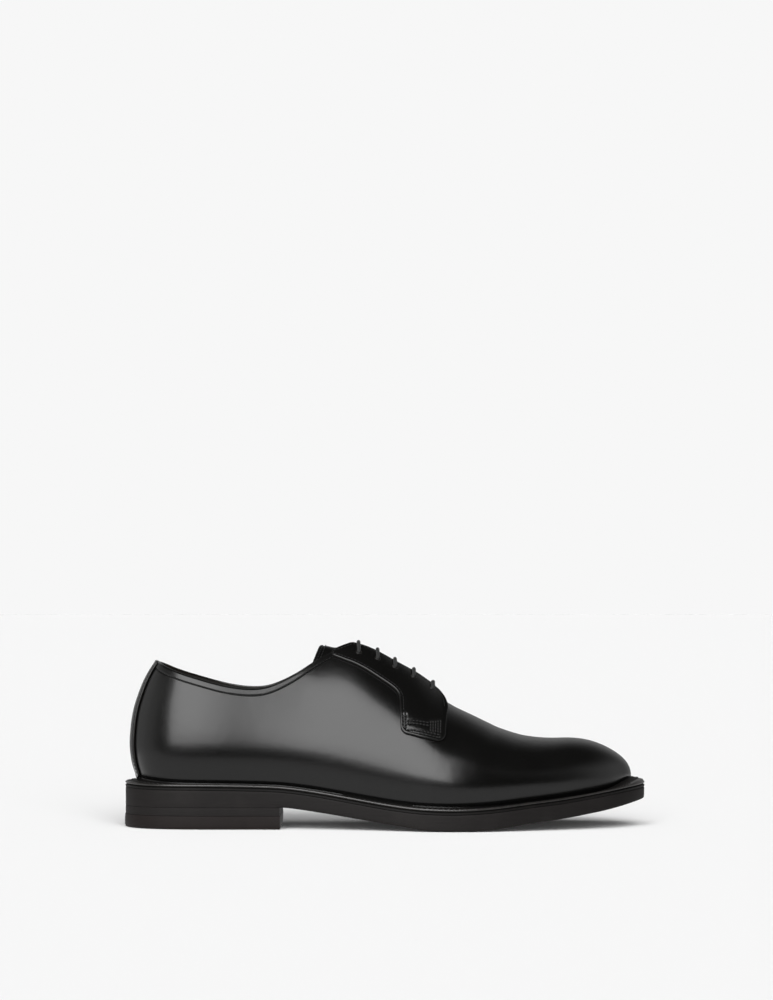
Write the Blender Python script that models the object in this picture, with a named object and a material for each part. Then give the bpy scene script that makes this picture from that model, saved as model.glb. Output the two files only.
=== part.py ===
"""A plain-toe derby shoe for the right foot, as a maker builds it: one named solid for each piece.

Every size is in millimetres and is turned into metres where a mesh is made.
+X runs to the toe, +Y to the inner (big-toe) side, +Z up, and the sole stands on Z = 0.
"""
import bmesh
import bpy
import numpy as np
from mathutils import Matrix, Vector

MM = 0.001

# Driving sizes.
GAP = 0.3                 # air between two pieces that touch on the real shoe
UPPER_LIFT = 0.4          # the upper and all on it stand this far over the welt
WALL = 1.9                # upper leather with its lining
WELT = 3.0                # thickness of the welt strip
WELT_UNDER = 2.0          # how far the welt reaches in under the upper
INSOLE_ABOVE = 2.4        # insole top above the seam of upper and welt
INSOLE_INSET = 3.0        # insole edge in from that seam
INSOLE_TOE_INSET = 7.0    # the same at the toe, where the vamp closes down
SOLE_INSET = 0.3          # the outsole's edge in from the welt's
STACK_INSET = 0.5         # the heel stack's edge in from the welt's
HEEL_FRONT = -60.4        # where the heel ends under the arch
HEEL_TOP = 12.3           # the level underside of the outsole over the heel
HEEL_LEVEL = -58.0        # where that level part ends
BALL = (27.0, 49.0)       # ends of the level part under the ball of the foot
LIFT = 7.5                # top lift, the piece that meets the floor
LIFT_PROUD = 0.5          # the lift stands out this much around the heel
LIFT_NOTCH = 6.0          # corner cut off the lift on the inner side, along the floor
LIFT_NOTCH_TOP = 2.4      # the same at the lift's top
HEEL_HUB = -104.0         # the heel's sections fan out about this x
TOE_CAP = 40.0            # length over which the vamp closes down to the toe
FACING = 1.3              # thickness of a facing
FACING_OFF = 0.7          # air under it
FACING_STAND = 3.0        # how far its loose front corner stands off the vamp
FACING_LIFTS = (2.0, 30.0)     # the x where that lift begins, and where it is full
STRIP = 1.2               # thickness of the back strip
STRIP_TURN = 16.5         # half of the strip's spread round the heel, in degrees
STRIP_FOOT = -0.93        # where the strip starts, just above the welt
TONGUE = 1.8              # thickness of the tongue
SLOT_HALF = 8.4           # half width of the throat in the upper
SLOT_FRONT = 27.0         # front end of that slot
SLOT_ROUND = 9.0          # length of its rounded end
EYELET = 3.6              # diameter of a lace hole
LACE = 2.2                # diameter of the round lace
EYELETS = (-15.6, -5.0, 4.9, 15.0, 25.0)    # x of each pair of lace holes
EYELET_OUT = {-1: 14.5, 1: 12.6}            # distance of a lace hole from the ridge, outer and inner

# The outsole's edge, once round: from the heel along the outer side to the toe and back inside.
SOLE_EDGE = (
    # x, y
    (-151.0, 0.0), (-145.4, -17.5), (-131.0, -28.8), (-107.0, -33.6), (-76.0, -33.6),
    (-43.0, -36.0), (-11.0, -43.5), (17.0, -51.5), (43.0, -54.4), (69.0, -50.6),
    (94.0, -43.4), (117.5, -34.2), (138.0, -20.0), (150.8, 5.0), (143.2, 26.4),
    (127.0, 38.8), (106.0, 46.6), (84.0, 51.4), (63.0, 53.0), (39.0, 50.4),
    (9.0, 40.8), (-21.0, 33.0), (-51.0, 30.6), (-81.0, 32.0), (-109.0, 33.2), (-132.0, 28.2),
    (-146.0, 16.6),
)
# Heights along the shoe: underside of the outsole, outer rim of the welt, seam of upper and welt.
SOLE_HEIGHTS = (
    # x, underside, rim, seam
    (-151.0, 12.3, 25.8, 28.6), (-137.0, 12.3, 24.9, 26.9), (-120.0, 12.3, 24.6, 25.8),
    (-95.0, 12.3, 24.4, 25.4), (-75.0, 12.3, 24.0, 25.0), (-58.0, 12.3, 23.2, 24.2),
    (-43.0, 10.5, 21.4, 22.4), (-29.0, 8.4, 19.3, 20.3), (-10.0, 5.4, 16.3, 17.3),
    (8.0, 2.6, 13.8, 14.8), (27.0, 0.0, 12.4, 13.4), (49.0, 0.0, 12.3, 13.3),
    (66.0, 1.5, 13.3, 14.3), (81.0, 3.8, 14.8, 15.9), (99.0, 6.1, 16.4, 17.8),
    (113.0, 8.3, 18.0, 19.6), (130.0, 11.3, 20.6, 23.0), (143.0, 14.1, 23.0, 28.3),
    (151.0, 15.8, 24.5, 31.0),
)
# Width of the welt outside the seam; the back strip takes some of it at the heel.
WELT_WIDTH = (
    # x, width
    (-151.0, 7.6), (-141.0, 6.2), (-125.0, 5.0), (-100.0, 4.6), (-60.0, 4.4), (10.0, 4.6), (80.0, 5.2),
    (125.0, 6.4), (151.0, 7.8),
)
# The upper's sections. Ridge heights behind the throat are those of the closed last.
SECTIONS = (
    # x, ridge z, ridge y, pinch, outer belly, inner belly, belly height
    (150.0, 52.6, 7.6, -0.16, 1.0, 1.0, 7.0),
    (133.0, 52.1, 7.1, -0.16, 1.2, 1.2, 8.0),
    (119.0, 51.3, 6.7, -0.12, 1.4, 1.4, 9.0),
    (100.0, 50.2, 6.4, -0.06, 1.8, 1.6, 10.0),
    (84.0, 51.2, 6.0, -0.01, 2.2, 1.8, 11.0),
    (67.0, 55.9, 6.0, 0.05, 2.5, 1.6, 12.0),
    (49.0, 64.3, 5.5, 0.12, 2.6, 1.8, 13.0),
    (36.0, 71.0, 5.0, 0.18, 2.6, 2.6, 14.0),
    (18.0, 86.0, 4.6, 0.24, 2.4, 4.0, 16.0),
    (0.0, 98.6, 4.2, 0.28, 2.4, 5.4, 18.0),
    (-19.0, 106.8, 3.6, 0.28, 2.8, 6.0, 20.0),
    (-38.0, 106.6, 3.0, 0.25, 3.2, 5.6, 21.0),
    (-60.0, 110.6, 1.8, 0.20, 3.6, 4.8, 21.5),
    (-85.0, 116.0, 0.6, 0.14, 3.8, 4.2, 22.0),
    (-104.0, 118.0, 0.0, 0.10, 3.8, 4.0, 22.0),
    (-151.0, 120.0, 0.0, 0.06, 3.6, 3.8, 20.0),
)
# The back of the heel, seen from the side, with the strip on it.
HEEL_BACK = (
    # z, x
    (24.0, -143.6), (28.2, -144.9), (34.0, -146.9), (41.0, -148.3), (48.0, -148.8), (55.0, -148.4),
    (62.0, -147.6), (69.0, -146.1), (76.0, -143.8), (83.0, -141.0), (90.0, -137.2), (97.0, -132.4),
    (110.0, -123.0),
)
# The collar's edge, seen from the side.
TOPLINE = (
    # x, z
    (-150.0, 100.4), (-137.0, 96.4), (-132.5, 94.5), (-127.0, 91.8), (-119.5, 88.7), (-110.0, 85.7),
    (-101.0, 83.1), (-92.0, 80.9), (-83.0, 79.5), (-75.0, 79.2), (-68.0, 80.2), (-59.0, 83.7),
    (-49.0, 89.3), (-40.0, 95.4), (-32.0, 99.8), (-25.0, 102.8), (-18.0, 105.2), (0.0, 110.0),
)
# The facing's outline, seen from the side: its lower seam, and the round of its front corner.
FACING_LOW = (
    # x, z
    (-32.0, 98.9), (-23.0, 95.6), (-14.7, 92.2), (-5.0, 86.4), (3.7, 80.7), (6.6, 78.0), (8.0, 75.0),
    (8.7, 57.4), (10.6, 55.0), (20.0, 52.6), (30.6, 50.3), (33.2, 51.4), (33.9, 53.0),
)
THROAT_EDGE = 7.6         # distance of a facing's edge from the ridge
FACING_ROUND = (
    # x, how much further than the throat edge
    (20.0, 0.0), (27.0, 1.5), (30.8, 4.7), (33.0, 9.6), (33.8, 14.1), (34.2, 18.1),
)
# Stations of a facing from its front to its back, close together where its outline turns.
FACING_STATIONS = (
    34.0, 33.2, 31.6, 29.0, 25.0, 20.0, 15.0, 10.8, 8.7, 7.8, 6.4, 3.0, -3.0, -9.0, -15.0, -20.0, -24.5, -28.0,
)
# The tongue from its end under the vamp to its free end: half of its width.
TONGUE_WIDTH = (
    # x, half width
    (44.0, 15.0), (38.0, 16.25), (32.0, 17.5), (26.0, 18.75), (20.0, 20.0), (12.0, 20.8), (4.0, 21.6),
    (-5.0, 22.5), (-14.0, 23.4), (-22.0, 23.5), (-29.0, 21.75), (-35.0, 20.25), (-38.5, 16.0),
)
# Rows up the upper: below the belly, and from there to its top edge.
ROWS_BELOW = 3
ROWS_ABOVE = 10

# Colours, as linear values.
BLACK_LEATHER = (0.012, 0.012, 0.012)
DARK_EDGE = (0.030, 0.022, 0.018)
TAN_LINING = (0.35, 0.22, 0.13)
BLACK_LACE = (0.010, 0.010, 0.010)


class Line:
    """A smooth curve through the rows of a table: its first column gives the rest."""

    def __init__(self, rows):
        table = np.array(rows, float)
        table = table[np.argsort(table[:, 0])]
        self.x, self.y = table[:, 0], table[:, 1:]
        count = len(table)
        step = np.diff(self.x)[:, None]
        system = np.eye(count)
        right = np.zeros_like(self.y)
        for i in range(1, count - 1):
            system[i, i - 1:i + 2] = step[i - 1, 0], 2 * (step[i - 1, 0] + step[i, 0]), step[i, 0]
            rise = (self.y[i + 1] - self.y[i]) / step[i] - (self.y[i] - self.y[i - 1]) / step[i - 1]
            right[i] = 6 * rise
        self.bend = np.linalg.solve(system, right)

    def __call__(self, x):
        x = np.clip(np.asarray(x, float), self.x[0], self.x[-1])
        i = np.clip(np.searchsorted(self.x, x, side="right") - 1, 0, len(self.x) - 2)
        step = (self.x[i + 1] - self.x[i])[..., None]
        b = (x - self.x[i])[..., None] / step
        a = 1 - b
        curve = ((a ** 3 - a) * self.bend[i] + (b ** 3 - b) * self.bend[i + 1]) * step ** 2 / 6
        value = a * self.y[i] + b * self.y[i + 1] + curve
        return value[..., 0] if value.shape[-1] == 1 else value


def closed_edge(rows, count):
    """Points and inward normals of a smooth closed curve through the rows."""
    table = np.array(rows, float)
    turns = len(table)
    system = 4 * np.eye(turns) + np.roll(np.eye(turns), 1, 0) + np.roll(np.eye(turns), -1, 0)
    bend = np.linalg.solve(system, 6 * (np.roll(table, -1, 0) - 2 * table + np.roll(table, 1, 0)))
    place = np.arange(count) * turns / count
    i = place.astype(int)
    j = (i + 1) % turns
    b = (place - i)[:, None]
    a = 1 - b
    points = a * table[i] + b * table[j] + ((a ** 3 - a) * bend[i] + (b ** 3 - b) * bend[j]) / 6
    run = np.roll(points, -1, 0) - np.roll(points, 1, 0)
    run /= np.linalg.norm(run, axis=1)[:, None]
    return points, np.stack([-run[:, 1], run[:, 0]], axis=1)


EDGE, INWARD = closed_edge(SOLE_EDGE, 1400)
heights = Line(SOLE_HEIGHTS)
sections = Line(SECTIONS)
welt_width = Line(WELT_WIDTH)
topline = Line(TOPLINE)
heel_back = Line(HEEL_BACK)


def columns(values):
    """The values of a table's named columns, one array for each."""
    return np.moveaxis(values, -1, 0)


def underside(x):
    """The outsole's underside: level under the heel and under the ball of the foot."""
    table = np.array(SOLE_HEIGHTS)
    level = (x < HEEL_LEVEL) | ((x > BALL[0]) & (x < BALL[1]))
    smooth, _, _ = columns(heights(x))
    return np.where(level, np.interp(x, table[:, 0], table[:, 1]), np.maximum(smooth, 0.0))


def rim(x):
    _, height, _ = columns(heights(x))
    return height


def seam(x):
    _, _, height = columns(heights(x))
    return height


def edge_inset(inset):
    """The sole's edge moved in by a distance, which may be a value for each point."""
    return EDGE + INWARD * (np.zeros(len(EDGE)) + inset)[:, None]


SEAM_INSET = welt_width(EDGE[:, 0])
FEATHER = edge_inset(SEAM_INSET)


def side_edges(edge):
    """The same edge as two functions of x, with the x of its two ends."""
    back, tip = np.argmin(edge[:, 0]), np.argmax(edge[:, 0])
    turned = np.roll(edge, -back, 0)
    tip = (tip - back) % len(edge)
    outer = turned[:tip + 1]
    inner = np.vstack([turned[tip:], turned[:1]])[::-1]
    return outer, inner, turned[0, 0], turned[tip, 0]


FEATHER_OUTER, FEATHER_INNER, FEATHER_BACK, FEATHER_TOE = side_edges(FEATHER)


def feather_ray(side, x, turn):
    """Hub and seam point for each station: across the shoe, or fanned round the heel by a turn in degrees."""
    edge = FEATHER_OUTER if side < 0 else FEATHER_INNER
    _, ridge_y, _, _, _, _ = columns(sections(x))
    hub_y = np.where(turn > 0, 0.0, ridge_y)
    across = np.interp(x, edge[:, 0], edge[:, 1])
    arm = edge - np.array([HEEL_HUB, 0.0])
    angle = np.degrees(np.arctan2(-arm[:, 0], np.abs(arm[:, 1])))
    reach = np.linalg.norm(arm, axis=1)
    order = np.argsort(angle)
    length = np.interp(turn, angle[order], reach[order])
    radians = np.radians(turn)
    seam_x = np.where(turn > 0, HEEL_HUB - length * np.sin(radians), x)
    seam_y = np.where(turn > 0, side * length * np.cos(radians), across)
    return x, hub_y, seam_x, seam_y


def last_point(side, x, turn, rise):
    """The outer skin of the upper. Rise runs from -1 at the seam to 0 at the belly and 1 at the ridge."""
    x, turn, rise = np.broadcast_arrays(np.asarray(x, float), np.asarray(turn, float), np.asarray(rise, float))
    hub_x, hub_y, seam_x, seam_y = feather_ray(side, x, turn)
    ridge_z, _, pinch, outer_belly, inner_belly, belly_high = columns(sections(seam_x))
    belly = outer_belly if side < 0 else inner_belly
    low = seam(seam_x)
    from_tip = np.clip((FEATHER_TOE - seam_x) / TOE_CAP, 0, 1)
    cap = np.sqrt(np.maximum(1 - (1 - from_tip) ** 2, 0))
    ridge_z = low + (ridge_z - low) * cap
    belly_high = belly_high * cap
    arm = np.hypot(seam_x - hub_x, seam_y - hub_y)
    swell = 1 + belly * cap / np.maximum(arm, 1.0)
    up = np.clip(rise, 0, 1) * np.pi / 2
    down = np.clip(rise, -1, 0) * np.pi / 2
    out_high = swell * np.cos(up) * (1 - pinch * np.sin(up) ** 2)
    out_low = 1 + (swell - 1) * np.cos(down)
    out = np.where(rise >= 0, out_high, out_low)
    z_high = low + belly_high + (ridge_z - low - belly_high) * np.sin(up)
    z_low = low + belly_high * (1 + np.clip(rise, -1, 0))
    z = np.where(rise >= 0, z_high, z_low)
    point_x = hub_x + (seam_x - hub_x) * out
    point_y = hub_y + (seam_y - hub_y) * out
    back_x = HEEL_HUB + (FEATHER_BACK - HEEL_HUB) * out
    lean = (heel_back(z) + GAP + STRIP - back_x) * np.sin(np.radians(turn)) ** 2
    return np.stack([point_x + lean, point_y, z], axis=-1)


def raised(points):
    """Points of the last as they stand on the shoe, over the welt."""
    return points + np.array([0.0, 0.0, UPPER_LIFT])


def skin(side, x, turn, rise, offset):
    """A point at a distance out from the upper's outer skin."""
    x, turn, rise, offset = np.broadcast_arrays(*(np.asarray(v, float) for v in (x, turn, rise, offset)))
    small = 0.004
    step_x = np.where(turn > 0, 0.0, 0.2)
    step_turn = np.where(turn > 0, 0.4, 0.0)
    ahead = last_point(side, x + step_x, turn - step_turn, rise)
    behind = last_point(side, x - step_x, turn + step_turn, rise)
    low = last_point(side, x, turn, np.maximum(rise - small, -1))
    high = last_point(side, x, turn, np.minimum(rise + small, 1))
    normal = np.cross(ahead - behind, high - low) * -side
    normal /= np.maximum(np.linalg.norm(normal, axis=-1), 1e-9)[..., None]
    return raised(last_point(side, x, turn, rise) + normal * offset[..., None])


def solve_rise(side, x, turn, test):
    """The rise, above the belly, at which test(points) turns from below zero to above."""
    low = np.zeros(np.shape(x))
    high = np.ones(np.shape(x))
    for _ in range(34):
        middle = (low + high) / 2
        above = test(last_point(side, x, turn, middle)) > 0
        high = np.where(above, middle, high)
        low = np.where(above, low, middle)
    return (low + high) / 2


def rise_at_height(side, x, turn, z):
    return solve_rise(side, x, turn, lambda p: p[..., 2] - z)


def rise_at_ridge_distance(side, x, distance):
    _, ridge_y, _, _, _, _ = columns(sections(x))
    return solve_rise(side, x, 0 * x, lambda p: distance - np.abs(p[..., 1] - ridge_y))


def collar_rise(side, x, turn):
    return solve_rise(side, x, turn, lambda p: p[..., 2] - topline(p[..., 0]))


def slot_half(x):
    """Half width of the throat slot, round at its front end."""
    into = np.clip((SLOT_FRONT - x) / SLOT_ROUND, 0, 1)
    return SLOT_HALF * np.sqrt(1 - (1 - into) ** 2)


def upper_top(side, x, turn):
    """Where the upper stops: at the ridge, at the throat slot or at the collar."""
    slot = np.where(x < SLOT_FRONT, rise_at_ridge_distance(side, x, slot_half(x)), 1.0)
    slot = np.where(turn > 0, 1.0, slot)
    collar = np.where(x < 0, collar_rise(side, x, turn), 1.0)
    return np.minimum(slot, collar)


def clear_scene():
    for thing in list(bpy.data.objects):
        bpy.data.objects.remove(thing, do_unlink=True)


def make_material(name, colour, roughness):
    material = bpy.data.materials.new(name)
    material.use_nodes = True
    shader = material.node_tree.nodes["Principled BSDF"]
    shader.inputs["Base Color"].default_value = (*colour, 1.0)
    shader.inputs["Roughness"].default_value = roughness
    shader.inputs["Metallic"].default_value = 0.0
    return material


def make_object(name, points, faces, material):
    """One named mesh object, with its faces turned to point out where it is closed."""
    mesh = bpy.data.meshes.new(name)
    work = bmesh.new()
    vertices = [work.verts.new(Vector(p) * MM) for p in points]
    for face in faces:
        work.faces.new([vertices[i] for i in face])
    bmesh.ops.remove_doubles(work, verts=work.verts, dist=0.00001)
    bmesh.ops.dissolve_degenerate(work, edges=work.edges, dist=0.00001)
    if not any(edge.is_boundary for edge in work.edges):
        bmesh.ops.recalc_face_normals(work, faces=work.faces)
    work.to_mesh(mesh)
    work.free()
    mesh.shade_smooth()
    mesh.set_sharp_from_angle(angle=np.radians(35))
    thing = bpy.data.objects.new(name, mesh)
    bpy.context.collection.objects.link(thing)
    thing.data.materials.append(material)
    return thing


def loft(name, rings, material, closed=False):
    """A solid through rings of points: an array of rings, points and x, y, z."""
    rows, around, _ = rings.shape
    faces = []
    for i in range(rows if closed else rows - 1):
        for j in range(around):
            a, b = i * around, (i + 1) % rows * around
            k = (j + 1) % around
            faces.append((a + j, a + k, b + k, b + j))
    if not closed:
        faces.append(tuple(range(around)))
        faces.append(tuple((rows - 1) * around + j for j in range(around)))
    return make_object(name, rings.reshape(-1, 3), faces, material)


def sheet(name, grids, material, thickness, outward):
    """A leather sheet from grids of points that run from toe to heel and up, thickened by a modifier."""
    points, faces = [], []
    for grid, flipped in grids:
        base = len(points)
        rows, across, _ = grid.shape
        points.extend(grid.reshape(-1, 3))
        for i in range(rows - 1):
            for j in range(across - 1):
                a = base + i * across + j
                face = (a, a + 1, a + across + 1, a + across)
                faces.append(face[::-1] if flipped else face)
    thing = make_object(name, points, faces, material)
    thick = thing.modifiers.new("thickness", "SOLIDIFY")
    thick.thickness = thickness * MM
    thick.offset = 1.0 if outward else -1.0
    thick.use_quality_normals = True
    return thing


def stations(start, end, count):
    """Places from end to end, closer together near both."""
    return (start + end) / 2 - (end - start) / 2 * np.cos(np.pi * np.arange(count + 1) / count)


def across_rings(edge, x, low, high):
    """Rings across the shoe between two heights, one for each x inside an edge."""
    outer, inner, _, _ = side_edges(edge)
    y_outer = np.interp(x, outer[:, 0], outer[:, 1])
    y_inner = np.interp(x, inner[:, 0], inner[:, 1])
    corners = ((y_outer, low), (y_inner, low), (y_inner, high), (y_outer, high))
    return np.stack([np.stack([x, y, z], axis=1) for y, z in corners], axis=1)


def plate_stations(edge, count, keep):
    """Stations along a plate, with its nearest ones moved to the places to keep."""
    _, _, back, toe = side_edges(edge)
    x = stations(back + 0.12, toe - 0.12, count)
    for place in keep:
        x[np.argmin(np.abs(x - place))] = place
    return x


def build_outsole(material):
    edge = edge_inset(SOLE_INSET)
    x = plate_stations(edge, 44, (HEEL_LEVEL, *BALL))
    return loft("outsole", across_rings(edge, x, underside(x), rim(x) - WELT - GAP), material)


def build_welt(material):
    pick = np.linspace(0, len(EDGE), 84, endpoint=False).astype(int)
    outer = EDGE[pick]
    over = FEATHER[pick]
    under = edge_inset(SEAM_INSET + WELT_UNDER)[pick]
    corners = (
        (outer, rim(outer[:, 0]) - WELT), (outer, rim(outer[:, 0])), (over, seam(over[:, 0])),
        (under, seam(over[:, 0])), (under, rim(under[:, 0]) - WELT),
    )
    rings = np.stack([np.column_stack([flat, z]) for flat, z in corners], axis=1)
    return loft("welt", rings, material, closed=True)


def build_insole(material):
    toe_share = np.clip((EDGE[:, 0] - 90.0) / 60.0, 0, 1)
    inset = INSOLE_INSET + (INSOLE_TOE_INSET - INSOLE_INSET) * toe_share
    edge = edge_inset(SEAM_INSET + inset)
    x = plate_stations(edge, 40, ())
    rings = across_rings(edge, x, rim(x) - WELT, seam(x) + INSOLE_ABOVE)
    return loft("insole", rings, material)


def heel_rings(edge, low, high):
    """Rings of a heel layer from its round back to the straight front."""
    _, _, back, _ = side_edges(edge)
    share = np.arange(19) / 18
    x = back + 0.12 + (HEEL_FRONT - back - 0.12) * share ** 1.8
    return across_rings(edge, x, np.full(len(x), low), np.full(len(x), high))


def build_heel_stack(material):
    return loft("heel_stack", heel_rings(edge_inset(STACK_INSET), LIFT + GAP, HEEL_TOP - GAP), material)


def build_top_lift(material):
    rings = heel_rings(edge_inset(-LIFT_PROUD), 0.0, LIFT)
    inner_low, inner_high = rings[-1, 1], rings[-1, 2]
    inner_low[1] -= LIFT_NOTCH
    inner_high[1] -= LIFT_NOTCH_TOP
    return loft("top_lift", rings, material)


def upper_grid(side, x, turn):
    """The upper's outer skin on one side, from the seam to its top edge."""
    top = upper_top(side, x, turn)
    low = -1 + np.arange(ROWS_BELOW) / ROWS_BELOW
    high = top[:, None] * np.linspace(0, 1, ROWS_ABOVE + 1)[None, :]
    rise = np.hstack([np.broadcast_to(low, (len(x), ROWS_BELOW)), high])
    return raised(last_point(side, x[:, None], turn[:, None], rise))


def upper_stations():
    """Stations from the toe to the back of the heel: x, then turns round the hub."""
    toe = FEATHER_TOE - 32.0 * (np.arange(9) / 8) ** 2
    vamp = np.linspace(toe[-1], SLOT_FRONT, 12)[1:]
    slot = SLOT_FRONT - np.array([0.9, 3.4, SLOT_ROUND])
    throat = np.linspace(slot[-1], -30.0, 10)[1:]
    quarter = np.linspace(throat[-1], HEEL_HUB, 10)[1:]
    turns = np.linspace(0, 90, 10)[1:]
    x = np.concatenate([toe, vamp, slot, throat, quarter, np.full(len(turns), HEEL_HUB)])
    return x, np.concatenate([np.zeros(len(x) - len(turns)), turns])


def build_upper(material):
    x, turn = upper_stations()
    grids = [(upper_grid(side, x, turn), side > 0) for side in (-1, 1)]
    return sheet("upper", grids, material, WALL, outward=False)


def facing_distance(x):
    """Distance of the facing's upper edge from the ridge: the throat edge, then the round front corner."""
    place, further = np.array(FACING_ROUND).T
    return THROAT_EDGE + np.interp(x, place, further)


def facing_foot(side, x):
    """The rise of the facing's lower seam."""
    place, height = np.array(FACING_LOW).T
    return rise_at_height(side, x, 0 * x, np.interp(x, place, height) - GAP)


def facing_offset(x, share):
    """Distance of the facing's underside from the upper: it lifts towards its front throat corner."""
    begin, full = FACING_LIFTS
    forward = np.clip((x - begin) / (full - begin), 0, 1)
    forward = forward * forward * (3 - 2 * forward)
    return FACING_OFF + FACING_STAND * forward * share ** 2


def build_facing(side, material):
    x = np.array(FACING_STATIONS)
    low = facing_foot(side, x)
    high = np.minimum(rise_at_ridge_distance(side, x, facing_distance(x)), collar_rise(side, x, 0 * x))
    share = np.linspace(0, 1, 8)[None, :]
    rise = low[:, None] + (high - low)[:, None] * share
    grid = skin(side, x[:, None], 0 * x[:, None], rise, facing_offset(x[:, None], share))
    name = "facing_outer" if side < 0 else "facing_inner"
    return sheet(name, [(grid, side > 0)], material, FACING, outward=True)


def build_tongue(material):
    x, half = np.array(TONGUE_WIDTH).T
    _, ridge_y, _, _, _, _ = columns(sections(x))
    grids = []
    for side in (-1, 1):
        edge = rise_at_ridge_distance(side, x, half)
        rise = edge[:, None] + (1 - edge)[:, None] * np.linspace(0, 1, 5)[None, :] ** 0.8
        grid = skin(side, x[:, None], 0 * x[:, None], rise, -(WALL + 2 * GAP))
        grid[:, -1, 1] = ridge_y
        grids.append((grid, side > 0))
    return sheet("tongue", grids, material, TONGUE, outward=False)


def build_back_strip(material):
    grids = []
    for side in (-1, 1):
        turn = 90 - STRIP_TURN * np.linspace(1, 0, 6)
        x = np.full(len(turn), HEEL_HUB)
        top = collar_rise(side, x, turn)
        above = top[:, None] * np.linspace(0, 1, 9)[None, :]
        rise = np.hstack([np.full((len(x), 1), STRIP_FOOT), np.full((len(x), 1), STRIP_FOOT / 2), above])
        grid = skin(side, x[:, None], turn[:, None], rise, GAP)
        grids.append((grid, side > 0))
    return sheet("back_strip", grids, material, STRIP, outward=True)


def eyelet_rise(side, x):
    return rise_at_ridge_distance(side, x, EYELET_OUT[side])


def facing_skin(side, x, rise, offset):
    """A point at a distance out from the facing's outer face."""
    low = facing_foot(side, x)
    high = rise_at_ridge_distance(side, x, facing_distance(x))
    share = np.clip((rise - low) / (high - low), 0, 1)
    return skin(side, x, 0 * x, rise, facing_offset(x, share) + FACING + offset)


def build_eyelet_cutter():
    """Round pins where the lace holes go, square to the facings."""
    work = bmesh.new()
    for side in (-1, 1):
        x = np.array(EYELETS)
        rise = eyelet_rise(side, x)
        centres = facing_skin(side, x, rise, -1.0)
        above = facing_skin(side, x, rise, 1.0)
        for centre, top in zip(centres, above):
            turn = Vector((0, 0, 1)).rotation_difference(Vector(top - centre)).to_matrix().to_4x4()
            place = Matrix.Translation(Vector(centre) * MM) @ turn
            bmesh.ops.create_cone(work, cap_ends=True, segments=10, radius1=EYELET / 2 * MM,
                                  radius2=EYELET / 2 * MM, depth=14.0 * MM, matrix=place)
    mesh = bpy.data.meshes.new("eyelet_cutter")
    work.to_mesh(mesh)
    work.free()
    cutter = bpy.data.objects.new("eyelet_cutter", mesh)
    bpy.context.collection.objects.link(cutter)
    cutter.hide_render = True
    cutter.display_type = "WIRE"
    return cutter


def cut_eyelets(thing, cutter):
    cut = thing.modifiers.new("eyelets", "BOOLEAN")
    cut.object = cutter
    cut.operation = "DIFFERENCE"
    cut.solver = "EXACT"


def lace_route(x):
    """One bar of lace: out of the outer hole, over both facing edges and down into the inner hole."""
    halves = []
    for side in (-1, 1):
        station = np.full(5, x)
        hole = eyelet_rise(side, station)
        edge = rise_at_ridge_distance(side, station, facing_distance(station))
        share = np.array([0.0, 0.0, 0.10, 0.5, 0.95])
        offset = np.array([-0.9, 0.5, 1.5, LACE / 2 + GAP + 0.1, LACE / 2 + GAP + 0.1])
        halves.append(facing_skin(side, station, hole + (edge - hole) * share, offset))
    middle = (halves[0][-1] + halves[1][-1]) / 2 + np.array([0.0, 0.0, 0.5])
    return np.vstack([halves[0], middle[None, :], halves[1][::-1]])


def build_lace_bar(index, x, material):
    curve = bpy.data.curves.new(f"lace_bar_{index}", "CURVE")
    curve.dimensions = "3D"
    curve.bevel_depth = LACE / 2 * MM
    curve.bevel_resolution = 2
    curve.use_fill_caps = True
    route = lace_route(x)
    spline = curve.splines.new("POLY")
    spline.points.add(len(route) - 1)
    for point, place in zip(spline.points, route):
        point.co = (*(place * MM), 1.0)
    curve.materials.append(material)
    bar = bpy.data.objects.new(f"lace_bar_{index}", curve)
    bpy.context.collection.objects.link(bar)
    return bar


def main():
    clear_scene()
    leather = make_material("black_leather", BLACK_LEATHER, 0.28)
    edge_finish = make_material("dark_edge", DARK_EDGE, 0.35)
    lining = make_material("tan_lining", TAN_LINING, 0.6)
    lace = make_material("black_lace", BLACK_LACE, 0.55)
    build_outsole(edge_finish)
    build_welt(edge_finish)
    build_heel_stack(edge_finish)
    build_top_lift(edge_finish)
    build_insole(lining)
    cutter = build_eyelet_cutter()
    cut_eyelets(build_upper(leather), cutter)
    build_tongue(leather)
    build_back_strip(leather)
    for side in (-1, 1):
        cut_eyelets(build_facing(side, leather), cutter)
    for index, x in enumerate(EYELETS, start=1):
        build_lace_bar(index, x, lace)


main()
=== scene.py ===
"""A black plain-toe derby for the right foot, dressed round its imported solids.

Sizes are in millimetres and become metres where a mesh is made. +X runs to the toe, +Y to the inner side and
+Z up. Every leather piece lies on one surface, the skin of the last. A place on it is (v, rise): v runs round
the shoe in millimetres, zero at the back of the heel and negative on the outer side; rise runs from -1 at the
welt seam to 0 at the belly and 1 at the ridge.
"""
import math

import bmesh
import bpy
import numpy as np
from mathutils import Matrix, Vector
from mathutils.geometry import delaunay_2d_cdt


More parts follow.
